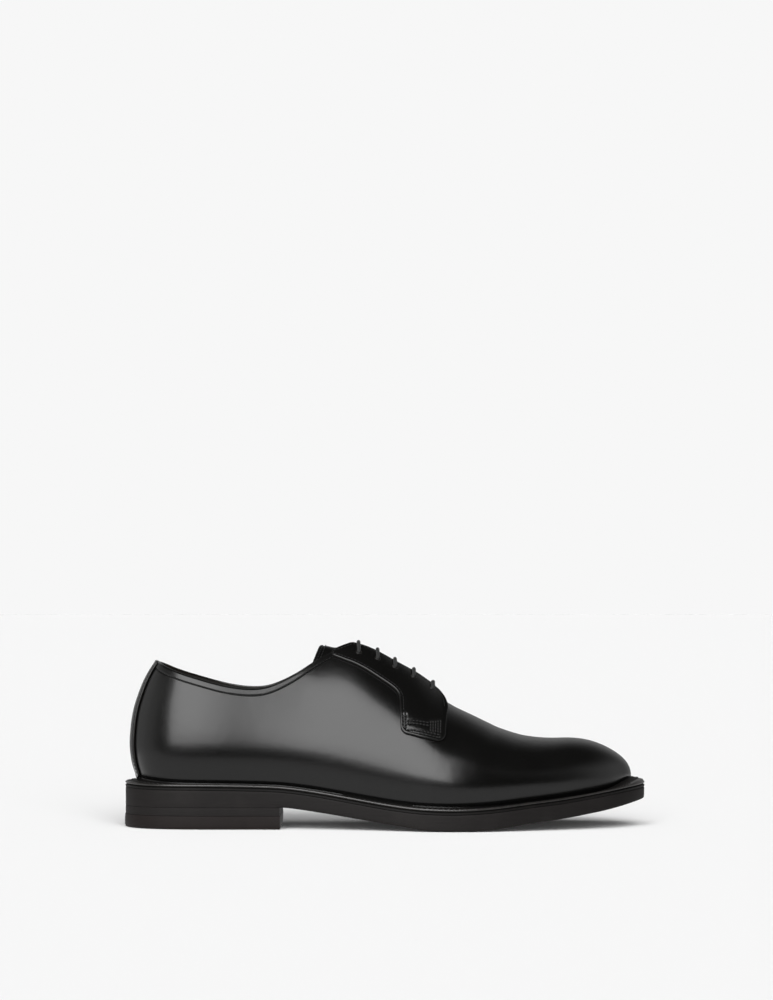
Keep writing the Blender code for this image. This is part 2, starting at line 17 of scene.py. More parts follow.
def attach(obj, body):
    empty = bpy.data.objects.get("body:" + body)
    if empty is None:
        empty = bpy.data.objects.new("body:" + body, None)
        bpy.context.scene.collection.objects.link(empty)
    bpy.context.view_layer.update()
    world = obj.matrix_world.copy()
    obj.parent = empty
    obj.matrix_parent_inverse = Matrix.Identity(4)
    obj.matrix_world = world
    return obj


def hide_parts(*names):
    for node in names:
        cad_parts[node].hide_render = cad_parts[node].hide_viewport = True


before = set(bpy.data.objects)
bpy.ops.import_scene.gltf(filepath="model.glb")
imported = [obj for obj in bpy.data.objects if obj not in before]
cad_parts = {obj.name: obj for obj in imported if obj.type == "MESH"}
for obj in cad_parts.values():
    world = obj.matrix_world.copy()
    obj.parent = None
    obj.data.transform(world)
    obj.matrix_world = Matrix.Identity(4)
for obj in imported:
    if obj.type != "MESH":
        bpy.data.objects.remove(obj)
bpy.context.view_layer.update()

MM = 0.001

# The construction's sizes, as the solids have them.
GAP = 0.3                 # between pieces that lie on each other
SKIN_UP = 0.1             # the skin stands this much above the upper's solid
WALL = 1.9                # thickness of the upper
WELT = 3.0                # thickness of the welt
INSOLE_ABOVE = 2.4        # top of the insole over the welt seam
HEEL_FRONT = -60.4        # x of the heel's front face
HEEL_TOP = 12.0           # z of the heel stack's top
LIFT = 7.5                # thickness of the top lift
LIFT_PROUD = 0.5          # how far the top lift stands out past the heel stack
HEEL_HUB = -104.0         # x of the point that the stations round the heel turn about
FAN = 64.0                # length given to a quarter turn round the heel
TOE_CAP = 40.0            # length over which the toe rounds down to the welt
FACING = 1.3              # thickness of a facing
FACING_STAND = 3.0        # how far a facing's front throat corner lifts off the vamp
FACING_OFF = 0.15         # gap under a facing elsewhere
STRIP = 1.2               # thickness of the back strip
STRIP_REACH = 16.5 / 90.0 * FAN    # half the back strip's width, along v
TONGUE = 1.8              # thickness of the tongue
SLOT_HALF = 8.4           # half the width of the upper's throat slot
SLOT_FRONT = 27.0         # x of its front end
SLOT_ROUND = 9.0          # length of its rounded front
THROAT_EDGE = 7.6         # from the ridge to a facing's throat edge
EYELET = 3.4              # diameter of a lace hole
LACE = 2.2                # diameter of the lace
LACE_LEAN = 0.6           # the middle of each lace bar lies this far behind its holes
EYELETS = (-15.6, -5.0, 4.9, 15.0, 25.0)    # x of each pair of lace holes
EYELET_OUT = {-1: 14.5, 1: 12.6}            # distance of a lace hole from the ridge, by side

SOLE_EDGE = (
    # x, y
    (-151.0, 0.0), (-145.4, -17.5), (-131.0, -28.8), (-107.0, -33.6), (-76.0, -33.6),
    (-43.0, -36.0), (-11.0, -43.5), (17.0, -51.5), (43.0, -54.4), (69.0, -50.6),
    (94.0, -43.4), (117.5, -34.2), (138.0, -20.0), (150.8, 5.0), (143.2, 26.4),
    (127.0, 38.8), (106.0, 46.6), (84.0, 51.4), (63.0, 53.0), (39.0, 50.4),
    (9.0, 40.8), (-21.0, 33.0), (-51.0, 30.6), (-81.0, 32.0), (-109.0, 33.2), (-132.0, 28.2),
    (-146.0, 16.6),
)
SOLE_HEIGHTS = (
    # x, underside, rim of the welt, seam of upper and welt
    (-151.0, 12.3, 25.8, 28.6), (-137.0, 12.3, 24.9, 26.9), (-120.0, 12.3, 24.6, 25.8),
    (-95.0, 12.3, 24.4, 25.4), (-75.0, 12.3, 24.0, 25.0), (-58.0, 12.3, 23.2, 24.2),
    (-43.0, 10.5, 21.4, 22.4), (-29.0, 8.4, 19.3, 20.3), (-10.0, 5.4, 16.3, 17.3),
    (8.0, 2.6, 13.8, 14.8), (27.0, 0.0, 12.4, 13.4), (49.0, 0.0, 12.3, 13.3),
    (66.0, 1.5, 13.3, 14.3), (81.0, 3.8, 14.8, 15.9), (99.0, 6.1, 16.4, 17.8),
    (113.0, 8.3, 18.0, 19.6), (130.0, 11.3, 20.6, 23.0), (143.0, 14.1, 23.0, 28.3),
    (151.0, 15.8, 24.5, 31.0),
)
RIM_CURL = (
    # x, how far the welt's edge curls up over the solid's
    (-151.0, 0.3), (-135.0, 0.7), (-110.0, 0.85), (-40.0, 0.9), (-10.0, 0.55), (20.0, 0.3), (40.0, 0.35),
    (60.0, 0.7), (80.0, 1.15), (100.0, 1.6), (113.0, 1.95), (125.0, 2.1), (138.0, 1.9), (151.0, 1.1),
)
WELT_WIDTH = (
    # x, width
    (-151.0, 7.6), (-141.0, 6.2), (-125.0, 5.0), (-100.0, 4.6), (-60.0, 4.4), (10.0, 4.6), (80.0, 5.2),
    (125.0, 6.4), (151.0, 7.8),
)
SECTIONS = (
    # x, ridge z, ridge y, pinch, outer belly, inner belly, belly height
    (150.0, 52.6, 7.6, -0.16, 1.0, 1.0, 7.0),
    (133.0, 52.1, 7.1, -0.16, 1.2, 1.2, 8.0),
    (119.0, 51.3, 6.7, -0.12, 1.4, 1.4, 9.0),
    (100.0, 50.2, 6.4, -0.06, 1.8, 1.6, 10.0),
    (84.0, 51.2, 6.0, -0.01, 2.2, 1.8, 11.0),
    (67.0, 55.9, 6.0, 0.05, 2.5, 1.6, 12.0),
    (49.0, 64.3, 5.5, 0.12, 2.6, 1.8, 13.0),
    (36.0, 71.0, 5.0, 0.18, 2.6, 2.6, 14.0),
    (18.0, 86.0, 4.6, 0.24, 2.4, 4.0, 16.0),
    (0.0, 98.6, 4.2, 0.28, 2.4, 5.4, 18.0),
    (-19.0, 106.8, 3.6, 0.28, 2.8, 6.0, 20.0),
    (-38.0, 106.6, 3.0, 0.25, 3.2, 5.6, 21.0),
    (-60.0, 110.6, 1.8, 0.20, 3.6, 4.8, 21.5),
    (-85.0, 116.0, 0.6, 0.14, 3.8, 4.2, 22.0),
    (-104.0, 118.0, 0.0, 0.10, 3.8, 4.0, 22.0),
    (-151.0, 120.0, 0.0, 0.06, 3.6, 3.8, 20.0),
)
HEEL_BACK = (
    # z, x
    (24.0, -143.6), (28.2, -144.9), (34.0, -146.9), (41.0, -148.3), (48.0, -148.8), (55.0, -148.4),
    (62.0, -147.6), (69.0, -146.1), (76.0, -143.8), (83.0, -141.0), (90.0, -137.2), (97.0, -132.4),
    (110.0, -123.0),
)
TOPLINE = (
    # x, z
    (-150.0, 100.4), (-137.0, 96.4), (-132.5, 94.5), (-127.0, 91.8), (-119.5, 88.7), (-110.0, 85.7),
    (-101.0, 83.1), (-92.0, 80.9), (-83.0, 79.5), (-75.0, 79.2), (-68.0, 80.2), (-59.0, 83.7),
    (-49.0, 89.3), (-40.0, 95.4), (-32.0, 99.8), (-25.0, 102.8), (-18.0, 105.2), (0.0, 110.0),
)
FACING_LOW = (
    # x, z of a facing's lower seam and of its tab's lower edge
    (-32.0, 98.9), (-23.0, 95.6), (-14.7, 92.2), (-5.0, 86.4), (3.7, 80.7), (6.6, 78.0), (8.0, 75.0),
    (8.7, 57.4), (10.6, 55.0), (20.0, 52.6), (30.6, 50.3), (33.2, 51.4), (33.9, 53.0),
)
FACING_ROUND = (
    # x, how much further from the ridge the throat edge runs there
    (20.0, 0.0), (27.0, 1.5), (30.8, 4.7), (33.0, 9.6), (33.8, 14.1), (34.2, 18.1),
)


class Line:
    """A smooth curve through the rows of a table: its first column gives the rest."""

    def __init__(self, rows):
        table = np.array(rows, float)
        table = table[np.argsort(table[:, 0])]
        self.x, self.y = table[:, 0], table[:, 1:]
        count = len(table)
        step = np.diff(self.x)[:, None]
        system = np.eye(count)
        right = np.zeros_like(self.y)
        for i in range(1, count - 1):
            system[i, i - 1:i + 2] = step[i - 1, 0], 2 * (step[i - 1, 0] + step[i, 0]), step[i, 0]
            rise = (self.y[i + 1] - self.y[i]) / step[i] - (self.y[i] - self.y[i - 1]) / step[i - 1]
            right[i] = 6 * rise
        self.bend = np.linalg.solve(system, right)

    def __call__(self, x):
        x = np.clip(np.asarray(x, float), self.x[0], self.x[-1])
        i = np.clip(np.searchsorted(self.x, x, side="right") - 1, 0, len(self.x) - 2)
        step = (self.x[i + 1] - self.x[i])[..., None]
        b = (x - self.x[i])[..., None] / step
        a = 1 - b
        curve = ((a ** 3 - a) * self.bend[i] + (b ** 3 - b) * self.bend[i + 1]) * step ** 2 / 6
        value = a * self.y[i] + b * self.y[i + 1] + curve
        return value[..., 0] if value.shape[-1] == 1 else value


def closed_edge(rows, count):
    """Points and inward normals of a smooth closed curve through the rows."""
    table = np.array(rows, float)
    turns = len(table)
    system = 4 * np.eye(turns) + np.roll(np.eye(turns), 1, 0) + np.roll(np.eye(turns), -1, 0)
    bend = np.linalg.solve(system, 6 * (np.roll(table, -1, 0) - 2 * table + np.roll(table, 1, 0)))
    place = np.arange(count) * turns / count
    i = place.astype(int)
    j = (i + 1) % turns
    b = (place - i)[:, None]
    a = 1 - b
    points = a * table[i] + b * table[j] + ((a ** 3 - a) * bend[i] + (b ** 3 - b) * bend[j]) / 6
    run = np.roll(points, -1, 0) - np.roll(points, 1, 0)
    run /= np.linalg.norm(run, axis=1)[:, None]
    return points, np.stack([-run[:, 1], run[:, 0]], axis=1)


def smooth(low, high, value):
    """0 below low, 1 above high and a soft step between."""
    share = np.clip((value - low) / (high - low), 0, 1)
    return share * share * (3 - 2 * share)


def unit(vectors):
    return vectors / np.maximum(np.linalg.norm(vectors, axis=-1), 1e-9)[..., None]


def at_x(rows, x, column=1):
    """A column of a table at x, straight between its rows."""
    table = np.array(rows)
    return np.interp(x, table[:, 0], table[:, column])


def way_along(points):
    """The way along a route of points up to each of them."""
    return np.concatenate([[0], np.cumsum(np.linalg.norm(np.diff(points, axis=0), axis=1))])


EDGE, INWARD = closed_edge(SOLE_EDGE, 1400)
heights = Line(SOLE_HEIGHTS)
sections = Line(SECTIONS)
welt_width = Line(WELT_WIDTH)
topline = Line(TOPLINE)
heel_back = Line(HEEL_BACK)


def underside(x):
    flat = (x < -58.0) | ((x > 27.0) & (x < 49.0))
    return np.where(flat, at_x(SOLE_HEIGHTS, x), np.maximum(heights(x)[..., 0], 0.0))


def rim(x):
    """Top of the welt's outer edge, which curls up towards the toe."""
    return heights(x)[..., 1] + at_x(RIM_CURL, x)


def seam(x):
    return heights(x)[..., 2]


def edge_inset(inset):
    return EDGE + INWARD * (np.zeros(len(EDGE)) + inset)[:, None]


SEAM_INSET = welt_width(EDGE[:, 0])
FEATHER = edge_inset(SEAM_INSET)


def side_edges(edge):
    """The same edge as two lines that run from its back to its tip."""
    back, tip = np.argmin(edge[:, 0]), np.argmax(edge[:, 0])
    turned = np.roll(edge, -back, 0)
    tip = (tip - back) % len(edge)
    return turned[:tip + 1], np.vstack([turned[tip:], turned[:1]])[::-1]


FEATHER_SIDES = side_edges(FEATHER)
FEATHER_BACK = FEATHER_SIDES[0][0, 0]
FEATHER_TOE = FEATHER_SIDES[0][-1, 0]
TOE_V = FAN + FEATHER_TOE - HEEL_HUB


def v_at(side, x):
    """The v of a station in front of the heel's hub."""
    return side * (FAN + x - HEEL_HUB)


def station(v):
    """Side, x and turn round the heel for each v."""
    side = np.where(v < 0, -1.0, 1.0)
    far = np.abs(v)
    turn = 90.0 * np.clip(1 - far / FAN, 0, 1)
    return side, np.where(far < FAN, HEEL_HUB, HEEL_HUB + far - FAN), turn


def feather_ray(side, x, turn):
    """Hub and seam point for each station."""
    ends = []
    for edge, sign in zip(FEATHER_SIDES, (-1, 1)):
        across = np.interp(x, edge[:, 0], edge[:, 1])
        arm = edge - np.array([HEEL_HUB, 0.0])
        angle = np.degrees(np.arctan2(-arm[:, 0], np.abs(arm[:, 1])))
        order = np.argsort(angle)
        length = np.interp(turn, angle[order], np.linalg.norm(arm, axis=1)[order])
        radians = np.radians(turn)
        seam_x = np.where(turn > 0, HEEL_HUB - length * np.sin(radians), x)
        seam_y = np.where(turn > 0, sign * length * np.cos(radians), across)
        ends.append((seam_x, seam_y))
    hub_y = np.where(turn > 0, 0.0, sections(x)[..., 1])
    seam_x = np.where(side < 0, ends[0][0], ends[1][0])
    seam_y = np.where(side < 0, ends[0][1], ends[1][1])
    return x, hub_y, seam_x, seam_y


def last_point(v, rise):
    """The outer skin of the upper."""
    v, rise = np.broadcast_arrays(np.asarray(v, float), np.asarray(rise, float))
    side, x, turn = station(v)
    hub_x, hub_y, seam_x, seam_y = feather_ray(side, x, turn)
    row = sections(seam_x)
    ridge_z, pinch, belly_high = row[..., 0], row[..., 2], row[..., 5]
    belly = np.where(side < 0, row[..., 3], row[..., 4])
    low = seam(seam_x)
    from_tip = np.clip((FEATHER_TOE - seam_x) / TOE_CAP, 0, 1)
    cap = np.sqrt(np.maximum(1 - (1 - from_tip) ** 2, 0))
    ridge_z = low + (ridge_z - low) * cap
    belly_high = belly_high * cap
    arm = np.hypot(seam_x - hub_x, seam_y - hub_y)
    swell = 1 + belly * cap / np.maximum(arm, 1.0)
    up = np.clip(rise, 0, 1) * np.pi / 2
    down = np.clip(rise, -1, 0) * np.pi / 2
    out_high = swell * np.cos(up) * (1 - pinch * np.sin(up) ** 2)
    out_low = 1 + (swell - 1) * np.cos(down)
    out = np.where(rise >= 0, out_high, out_low)
    z_high = low + belly_high + (ridge_z - low - belly_high) * np.sin(up)
    z_low = low + belly_high * (1 + np.clip(rise, -1, 0))
    z = np.where(rise >= 0, z_high, z_low)
    back_x = HEEL_HUB + (FEATHER_BACK - HEEL_HUB) * out
    lean = (heel_back(z) + GAP + STRIP - back_x) * np.sin(np.radians(turn)) ** 2
    skin_x = hub_x + (seam_x - hub_x) * out + lean
    skin_y = hub_y + (seam_y - hub_y) * out
    return np.stack([skin_x, skin_y, z + GAP + SKIN_UP], axis=-1)


def skin_normal(v, rise):
    small = 0.004
    along = last_point(v + 0.3, rise) - last_point(v - 0.3, rise)
    up = last_point(v, np.minimum(rise + small, 1.0)) - last_point(v, np.maximum(rise - small, -1.0))
    return unit(-np.cross(along, up))


def skin(v, rise, height=0.0):
    """A point at a height over the upper's outer skin."""
    v, rise, height = np.broadcast_arrays(*(np.asarray(a, float) for a in (v, rise, height)))
    return last_point(v, rise) + skin_normal(v, rise) * height[..., None]


def last_at(places):
    return last_point(places[:, 0], places[:, 1])


def skin_at(places, height):
    return skin(places[:, 0], places[:, 1], height)


def normal_at(places):
    return skin_normal(places[:, 0], places[:, 1])


def solve_rise(v, test):
    """The rise, above the belly, at which test(points) turns from below zero to above."""
    low = np.zeros(np.shape(v))
    high = np.ones(np.shape(v))
    for _ in range(30):
        middle = (low + high) / 2
        above = test(last_point(v, middle)) > 0
        high = np.where(above, middle, high)
        low = np.where(above, low, middle)
    return (low + high) / 2


def rise_at_height(v, z):
    return solve_rise(v, lambda p: p[..., 2] - z - GAP - SKIN_UP)


def rise_off_ridge(v, distance):
    ridge_y = sections(station(v)[1])[..., 1]
    return solve_rise(v, lambda p: distance - np.abs(p[..., 1] - ridge_y))


def collar_rise(v):
    return solve_rise(v, lambda p: p[..., 2] - GAP - SKIN_UP - topline(p[..., 0]))


def upper_top(v):
    """Where the upper stops: at the ridge, at the throat slot or at the collar."""
    _, x, turn = station(v)
    into = np.clip((SLOT_FRONT - x) / SLOT_ROUND, 0, 1)
    half = SLOT_HALF * np.sqrt(1 - (1 - into) ** 2)
    slot = np.where((x < SLOT_FRONT) & (turn <= 0), rise_off_ridge(v, half), 1.0)
    collar = np.where(x < 0, collar_rise(v), 1.0)
    return np.minimum(slot, collar)


# Meshes.

def make_piece(name, points, faces, materials, face_materials=None, sharp=40.0, closed=True):
    """A named mesh from points in millimetres."""
    work = bmesh.new()
    vertices = [work.verts.new(p) for p in (np.asarray(points, float) * MM).tolist()]
    kinds = face_materials if face_materials is not None else [0] * len(faces)
    for face, kind in zip(faces, kinds):
        if len(set(face)) > 2:
            try:
                made = work.faces.new([vertices[i] for i in face])
                made.material_index = int(kind)
            except ValueError:
                continue
    bmesh.ops.remove_doubles(work, verts=work.verts, dist=0.000004)
    bmesh.ops.dissolve_degenerate(work, edges=work.edges, dist=0.000002)
    if closed:
        bmesh.ops.recalc_face_normals(work, faces=work.faces)
    mesh = bpy.data.meshes.new(name)
    work.to_mesh(mesh)
    work.free()
    mesh.shade_smooth()
    mesh.set_sharp_from_angle(angle=math.radians(sharp))
    for material in materials:
        mesh.materials.append(material)
    piece = bpy.data.objects.new(name, mesh)
    bpy.context.collection.objects.link(piece)
    return piece


def grid_faces(rows, across, base=0, wrap_rows=False, wrap_across=False):
    """Quads of a grid whose points run row by row."""
    i = np.arange(rows if wrap_rows else rows - 1)
    j = np.arange(across if wrap_across else across - 1)
    a = base + (i[:, None] * across + j[None, :])
    b = base + (i[:, None] * across + (j[None, :] + 1) % across)
    c = base + ((i[:, None] + 1) % rows * across + (j[None, :] + 1) % across)
    d = base + ((i[:, None] + 1) % rows * across + j[None, :])
    return np.stack([a, b, c, d], axis=-1).reshape(-1, 4).tolist()


def dress(piece, slot, *nodes):
    """The piece rides on the shoe and stands for CAD nodes; its slot is not used."""
    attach(piece, "root")
    if nodes:
        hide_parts(*nodes)


# Materials.

class Wire:
    """One output of a shader node, usable in Python expressions."""

    def __init__(self, sheet, socket):
        self.sheet, self.socket = sheet, socket

    def math(self, kind, *others):
        return self.sheet.node("ShaderNodeMath", {"operation": kind}, dict(enumerate((self, *others))))

    def __add__(self, other):
        return self.math("ADD", other)

    __radd__ = __add__

    def __mul__(self, other):
        return self.math("MULTIPLY", other)

    __rmul__ = __mul__

    def __sub__(self, other):
        return self.math("SUBTRACT", other)

    def __rsub__(self, other):
        return self.sheet.node("ShaderNodeMath", {"operation": "SUBTRACT"}, {0: other, 1: self})

    def ramp(self, low, high, first=0.0, last=1.0):
        """The first value below low and the last above high, with a soft step between."""
        return self.sheet.node("ShaderNodeMapRange", {"interpolation_type": "SMOOTHSTEP"},
                               {"Value": self, "From Min": low, "From Max": high,
                                "To Min": first, "To Max": last})

    def wave(self, pitch):
        """A soft wave from 0 to 1 with this pitch, in the wire's own unit."""
        return (self * (math.tau / pitch)).math("SINE") * 0.5 + 0.5


class Sheet:
    """A node tree whose nodes are all made by one method."""

    def __init__(self, tree):
        self.tree = tree

    def node(self, kind, settings, values, output=0):
        made = self.tree.nodes.new(kind)
        for key, value in settings.items():
            setattr(made, key, value)
        for key, value in values.items():
            self.link(made.inputs[key], value)
        return Wire(self, made.outputs[output])

    def link(self, socket, value):
        if isinstance(value, Wire):
            self.tree.links.new(value.socket, socket)
        else:
            socket.default_value = value

    def axes(self, point):
        split = self.node("ShaderNodeSeparateXYZ", {}, {0: point})
        return [Wire(self, output) for output in split.socket.node.outputs]


class Finish(Sheet):
    """The node sheet of one material."""

    def __init__(self, name):
        self.material = bpy.data.materials.new(name)
        self.material.use_nodes = True
        super().__init__(self.material.node_tree)
        self.shader = self.tree.nodes["Principled BSDF"]

    def place(self):
        """The point on the shoe, in millimetres."""
        point = self.node("ShaderNodeTexCoord", {}, {}, "Object")
        return self.node("ShaderNodeVectorMath", {"operation": "SCALE"}, {0: point, "Scale": 1 / MM})

    def stretched(self, point, factors):
        return self.node("ShaderNodeVectorMath", {"operation": "MULTIPLY"}, {0: point, 1: factors})

    def noise(self, point, size, detail=3.0, roughness=0.5):
        """Smooth noise from 0 to 1 whose spots are about this size in millimetres."""
        return self.node("ShaderNodeTexNoise", {"noise_dimensions": "3D"},
                         {"Vector": point, "Scale": 1.0 / size, "Detail": detail, "Roughness": roughness})

    def cells(self, point, size):
        """Distance to the edge of small cells, such as the grain's pores."""
        return self.node("ShaderNodeTexVoronoi", {"feature": "DISTANCE_TO_EDGE"},
                         {"Vector": point, "Scale": 1.0 / size})

    def mix(self, share, first, second):
        """A colour between two, each a wire or a tone. Sockets 6 and 7 of the node are its colours."""
        first, second = (tone if isinstance(tone, Wire) else (*tone, 1.0) for tone in (first, second))
        return self.node("ShaderNodeMix", {"data_type": "RGBA"}, {"Factor": share, 6: first, 7: second}, 2)

    def bump(self, height, depth, under=None):
        """Raises the surface by height times this depth in millimetres."""
        values = {"Height": height, "Distance": depth * MM, "Strength": 1.0}
        if under is not None:
            values["Normal"] = under
        return self.node("ShaderNodeBump", {}, values)

    def set(self, **sockets):
        for name, value in sockets.items():
            title = name.replace("_", " ").title().replace("Ior", "IOR")
            if name == "base_color" and not isinstance(value, Wire):
                value = (*value, 1.0)
            self.link(self.shader.inputs[title], value)


def polished_leather():
    """Smooth black calf: fine pores under a thin polish."""
    finish = Finish("polished_black_leather")
    point = finish.place()
    pores = finish.cells(point, 0.55)
    grain = finish.noise(point, 0.9, detail=4.0)
    drift = finish.noise(point, 26.0, detail=2.0)
    wave = finish.noise(point, 9.0, detail=1.0)
    finish.set(
        base_color=finish.mix(drift, (0.0016, 0.0016, 0.0015), (0.0034, 0.0033, 0.0031)),
        roughness=0.165 + drift * 0.05 + grain * 0.05,
        specular_ior_level=0.36,
        coat_weight=0.10,
        coat_roughness=0.12,
        normal=finish.bump(pores.ramp(0.0, 0.12), 0.006,
                           finish.bump(grain, 0.018, finish.bump(wave, 0.08))),
    )
    return finish.material


def leather_edge():
    """Cut and inked edges of the leather."""
    finish = Finish("inked_leather_edge")
    point = finish.place()
    fibre = finish.noise(point, 0.35, detail=4.0)
    finish.set(base_color=finish.mix(fibre, (0.005, 0.0045, 0.004), (0.011, 0.0095, 0.0085)),
               roughness=0.34 + fibre * 0.15, normal=finish.bump(fibre, 0.05))
    return finish.material


def lining_leather(name, first, second, pore):
    """Soft lining calf inside the shoe."""
    finish = Finish(name)
    point = finish.place()
    pores = finish.cells(point, 0.7)
    grain = finish.noise(point, 1.6, detail=5.0, roughness=0.6)
    patch = finish.noise(point, 22.0, detail=3.0)
    finish.set(base_color=finish.mix(grain.ramp(0.35, 0.8) * 0.35, finish.mix(patch, first, second), pore),
               roughness=0.52 + grain * 0.14,
               normal=finish.bump(pores.ramp(0.0, 0.2), 0.02, finish.bump(grain, 0.06)))
    return finish.material


def burnished_edge(name, first, second, shine, gloss, wax):
    """Stacked leather, stained and burnished: faint level layers and long rubbed streaks.

    shine is its roughness where it is smoothest, gloss its specular level and wax its coat.
    """
    finish = Finish(name)
    point = finish.place()
    layers = finish.noise(finish.stretched(point, (0.06, 0.06, 1.6)), 1.0, detail=3.0)
    fibre = finish.noise(finish.stretched(point, (0.5, 0.5, 2.4)), 0.5, detail=4.0)
    rub = finish.noise(point, 18.0, detail=2.0)
    colour = finish.mix(layers, first, second)
    colour = finish.mix(rub.ramp(0.45, 0.8) * 0.4, colour, tuple(c * 1.5 for c in second))
    finish.set(base_color=colour, roughness=shine + fibre * 0.12 + rub * 0.08,
               specular_ior_level=gloss, coat_weight=wax, coat_roughness=0.25,
               normal=finish.bump(fibre, 0.035, finish.bump(layers, 0.06)))
    return finish.material


def heel_rubber():
    """Dull dark rubber with fine specks and soft scuffs."""
    finish = Finish("dark_heel_rubber")
    point = finish.place()
    speck = finish.noise(point, 0.4, detail=3.0)
    scuff = finish.noise(point, 7.0, detail=4.0, roughness=0.65)
    finish.set(base_color=finish.mix(scuff, (0.0070, 0.0053, 0.0050), (0.0122, 0.0094, 0.0088)),
               roughness=0.50 + speck * 0.15, specular_ior_level=0.12, normal=finish.bump(speck, 0.05))
    return finish.material


def waxed_thread(name, colour):
    """Twisted waxed thread."""
    finish = Finish(name)
    point = finish.place()
    twist = finish.noise(point, 0.55, detail=2.0)
    finish.set(base_color=finish.mix(twist, colour, tuple(c * 1.8 for c in colour)),
               roughness=0.42 + twist * 0.2, specular_ior_level=0.35, normal=finish.bump(twist, 0.06))
    return finish.material


def woven_lace():
    """Round waxed cotton cord: strands cross in a fine plait, charted on the tube's own map."""
    finish = Finish("woven_black_lace")
    chart = finish.node("ShaderNodeUVMap", {"uv_map": "plait"}, {})
    along, around, _ = finish.axes(chart)
    first = (along + around * 0.9).wave(0.9)
    second = (along - around * 0.9).wave(0.9)
    plait = first.math("MAXIMUM", second)
    fuzz = finish.noise(finish.place(), 0.25, detail=3.0)
    finish.set(base_color=finish.mix(plait, (0.0022, 0.0022, 0.0022), (0.0075, 0.0075, 0.0072)),
               roughness=0.50 + fuzz * 0.2, sheen_weight=0.08, sheen_roughness=0.4,
               normal=finish.bump(fuzz, 0.03, finish.bump(plait, 0.16)))
    return finish.material


BLACK_LEATHER = polished_leather()
INKED_EDGE = leather_edge()
LINING = lining_leather("tan_lining_leather", (0.42, 0.26, 0.145), (0.52, 0.34, 0.20), (0.30, 0.17, 0.09))
COLLAR_LINING = lining_leather("black_collar_lining", (0.007, 0.007, 0.0065), (0.012, 0.0115, 0.011),
                               (0.004, 0.004, 0.004))
# The welt's top is painted darker than the sole edge, as shade under the upper. The rows of its rim bead take
# a lighter, glossier copy: the gloss is the rim's real polish, the lighter tone a painted highlight.
WELT_SHADED_FINISH = burnished_edge("black_welt_painted_shade", (0.003, 0.0028, 0.0026), (0.006, 0.0054, 0.005),
                             shine=0.40, gloss=0.14, wax=0.0)
RIM_LIT_FINISH = burnished_edge("polished_welt_rim_painted_highlight", (0.008, 0.0075, 0.007), (0.014, 0.0125, 0.0115),
                            shine=0.18, gloss=0.48, wax=0.15)
SOLE_FINISH = burnished_edge("burnished_sole_edge", (0.0068, 0.0060, 0.0058), (0.0112, 0.0099, 0.0096),
                             shine=0.50, gloss=0.12, wax=0.0)
RUBBER = heel_rubber()
THREAD = waxed_thread("black_waxed_thread", (0.006, 0.006, 0.006))
WELT_THREAD = waxed_thread("welt_thread", (0.0045, 0.0042, 0.0038))
LACE_FINISH = woven_lace()


# The upper.

COLLAR_BAND = 3.4         # height of the folded collar edge
COLLAR_LINING_DEPTH = 17.0     # black lining under the collar, tan below it
COLLAR_ROWS = np.concatenate([np.arange(0, 6.0, 0.3), [6.4, 7.0]])      # below the top edge
UPPER_ROWS = 46           # rows below those
CREASES = (
    # depth, x at the belly, how far it leans forward up to the ridge, half width
    (0.15, 60.0, 5.0, 3.2),
    (0.11, 73.0, 7.0, 3.8),
)


def upper_stations():
    """v of every column, from the outer toe round the heel to the inner toe."""
    toe = TOE_V - 30.0 * (np.arange(33) / 32) ** 2
    vamp = np.linspace(toe[-1], v_at(1, SLOT_FRONT), 66)[1:]
    slot = v_at(1, SLOT_FRONT - SLOT_ROUND * (np.arange(1, 13) / 12) ** 2)
    throat = np.linspace(slot[-1], v_at(1, -30.0), 40)[1:]
    quarter = np.linspace(throat[-1], FAN, 56)[1:]
    heel = np.linspace(FAN, 0.0, 46)[1:]
    half = np.concatenate([toe, vamp, slot, throat, quarter, heel])
    return np.concatenate([-half, half[::-1][1:]])


def foot_rows(share):
    """Places between 0 and 1, closer together near 0."""
    return share - 0.12 * np.sin(math.pi * share) * (1 - share)


def column_lengths(v, top):
    """Rises up each column from the seam to its top, and the way up to each in millimetres."""
    rise = -1 + (top[:, None] + 1) * np.linspace(0, 1, 121)[None, :]
    points = last_point(v[:, None], rise)
    step = np.linalg.norm(np.diff(points, axis=1), axis=2)
    return rise, np.concatenate([np.zeros((len(v), 1)), np.cumsum(step, axis=1)], axis=1)


def column_rows(v, top):
    """Rise of each row of each column: close together under the top edge, even further down."""
    rise, length = column_lengths(v, top)
    foot = foot_rows(np.linspace(0, 1, UPPER_ROWS + 1)[:-1])
    result = []
    for i in range(len(v)):
        total = length[i, -1]
        fine = np.minimum(COLLAR_ROWS, total * 0.3 * COLLAR_ROWS / COLLAR_ROWS[-1])
        below = (total - fine[-1]) * foot
        result.append(np.interp(np.concatenate([below, (total - fine)[::-1]]), length[i], rise[i]))
    return np.array(result)


def below_top(points):
    """How far each row of each column lies below the top edge."""
    steps = np.linalg.norm(np.diff(points, axis=1), axis=2)[:, ::-1]
    return np.concatenate([np.zeros((len(points), 1)), np.cumsum(steps, axis=1)], axis=1)[:, ::-1]


def collar_share(v):
    """1 where the upper's top edge is the open collar, 0 along the throat and vamp."""
    _, x, _ = station(v)
    return smooth(-24.0, -30.0, x)


def crease_height(v, rise, points):
    """Soft troughs across the vamp where the foot bends, and a slight pull beside the facings."""
    _, x, turn = station(v)
    troughs = sum(depth * np.exp(-((x - at - lean * rise) / wide) ** 2) for depth, at, lean, wide in CREASES)
    troughs = troughs * smooth(0.05, 0.35, rise) * (turn <= 0)
    pull = 0.10 * np.exp(-((points[..., 0] + 30.0 + 0.5 * (points[..., 2] - 60.0)) / 8.0) ** 2)
    return pull * smooth(0.1, 0.5, rise) - troughs


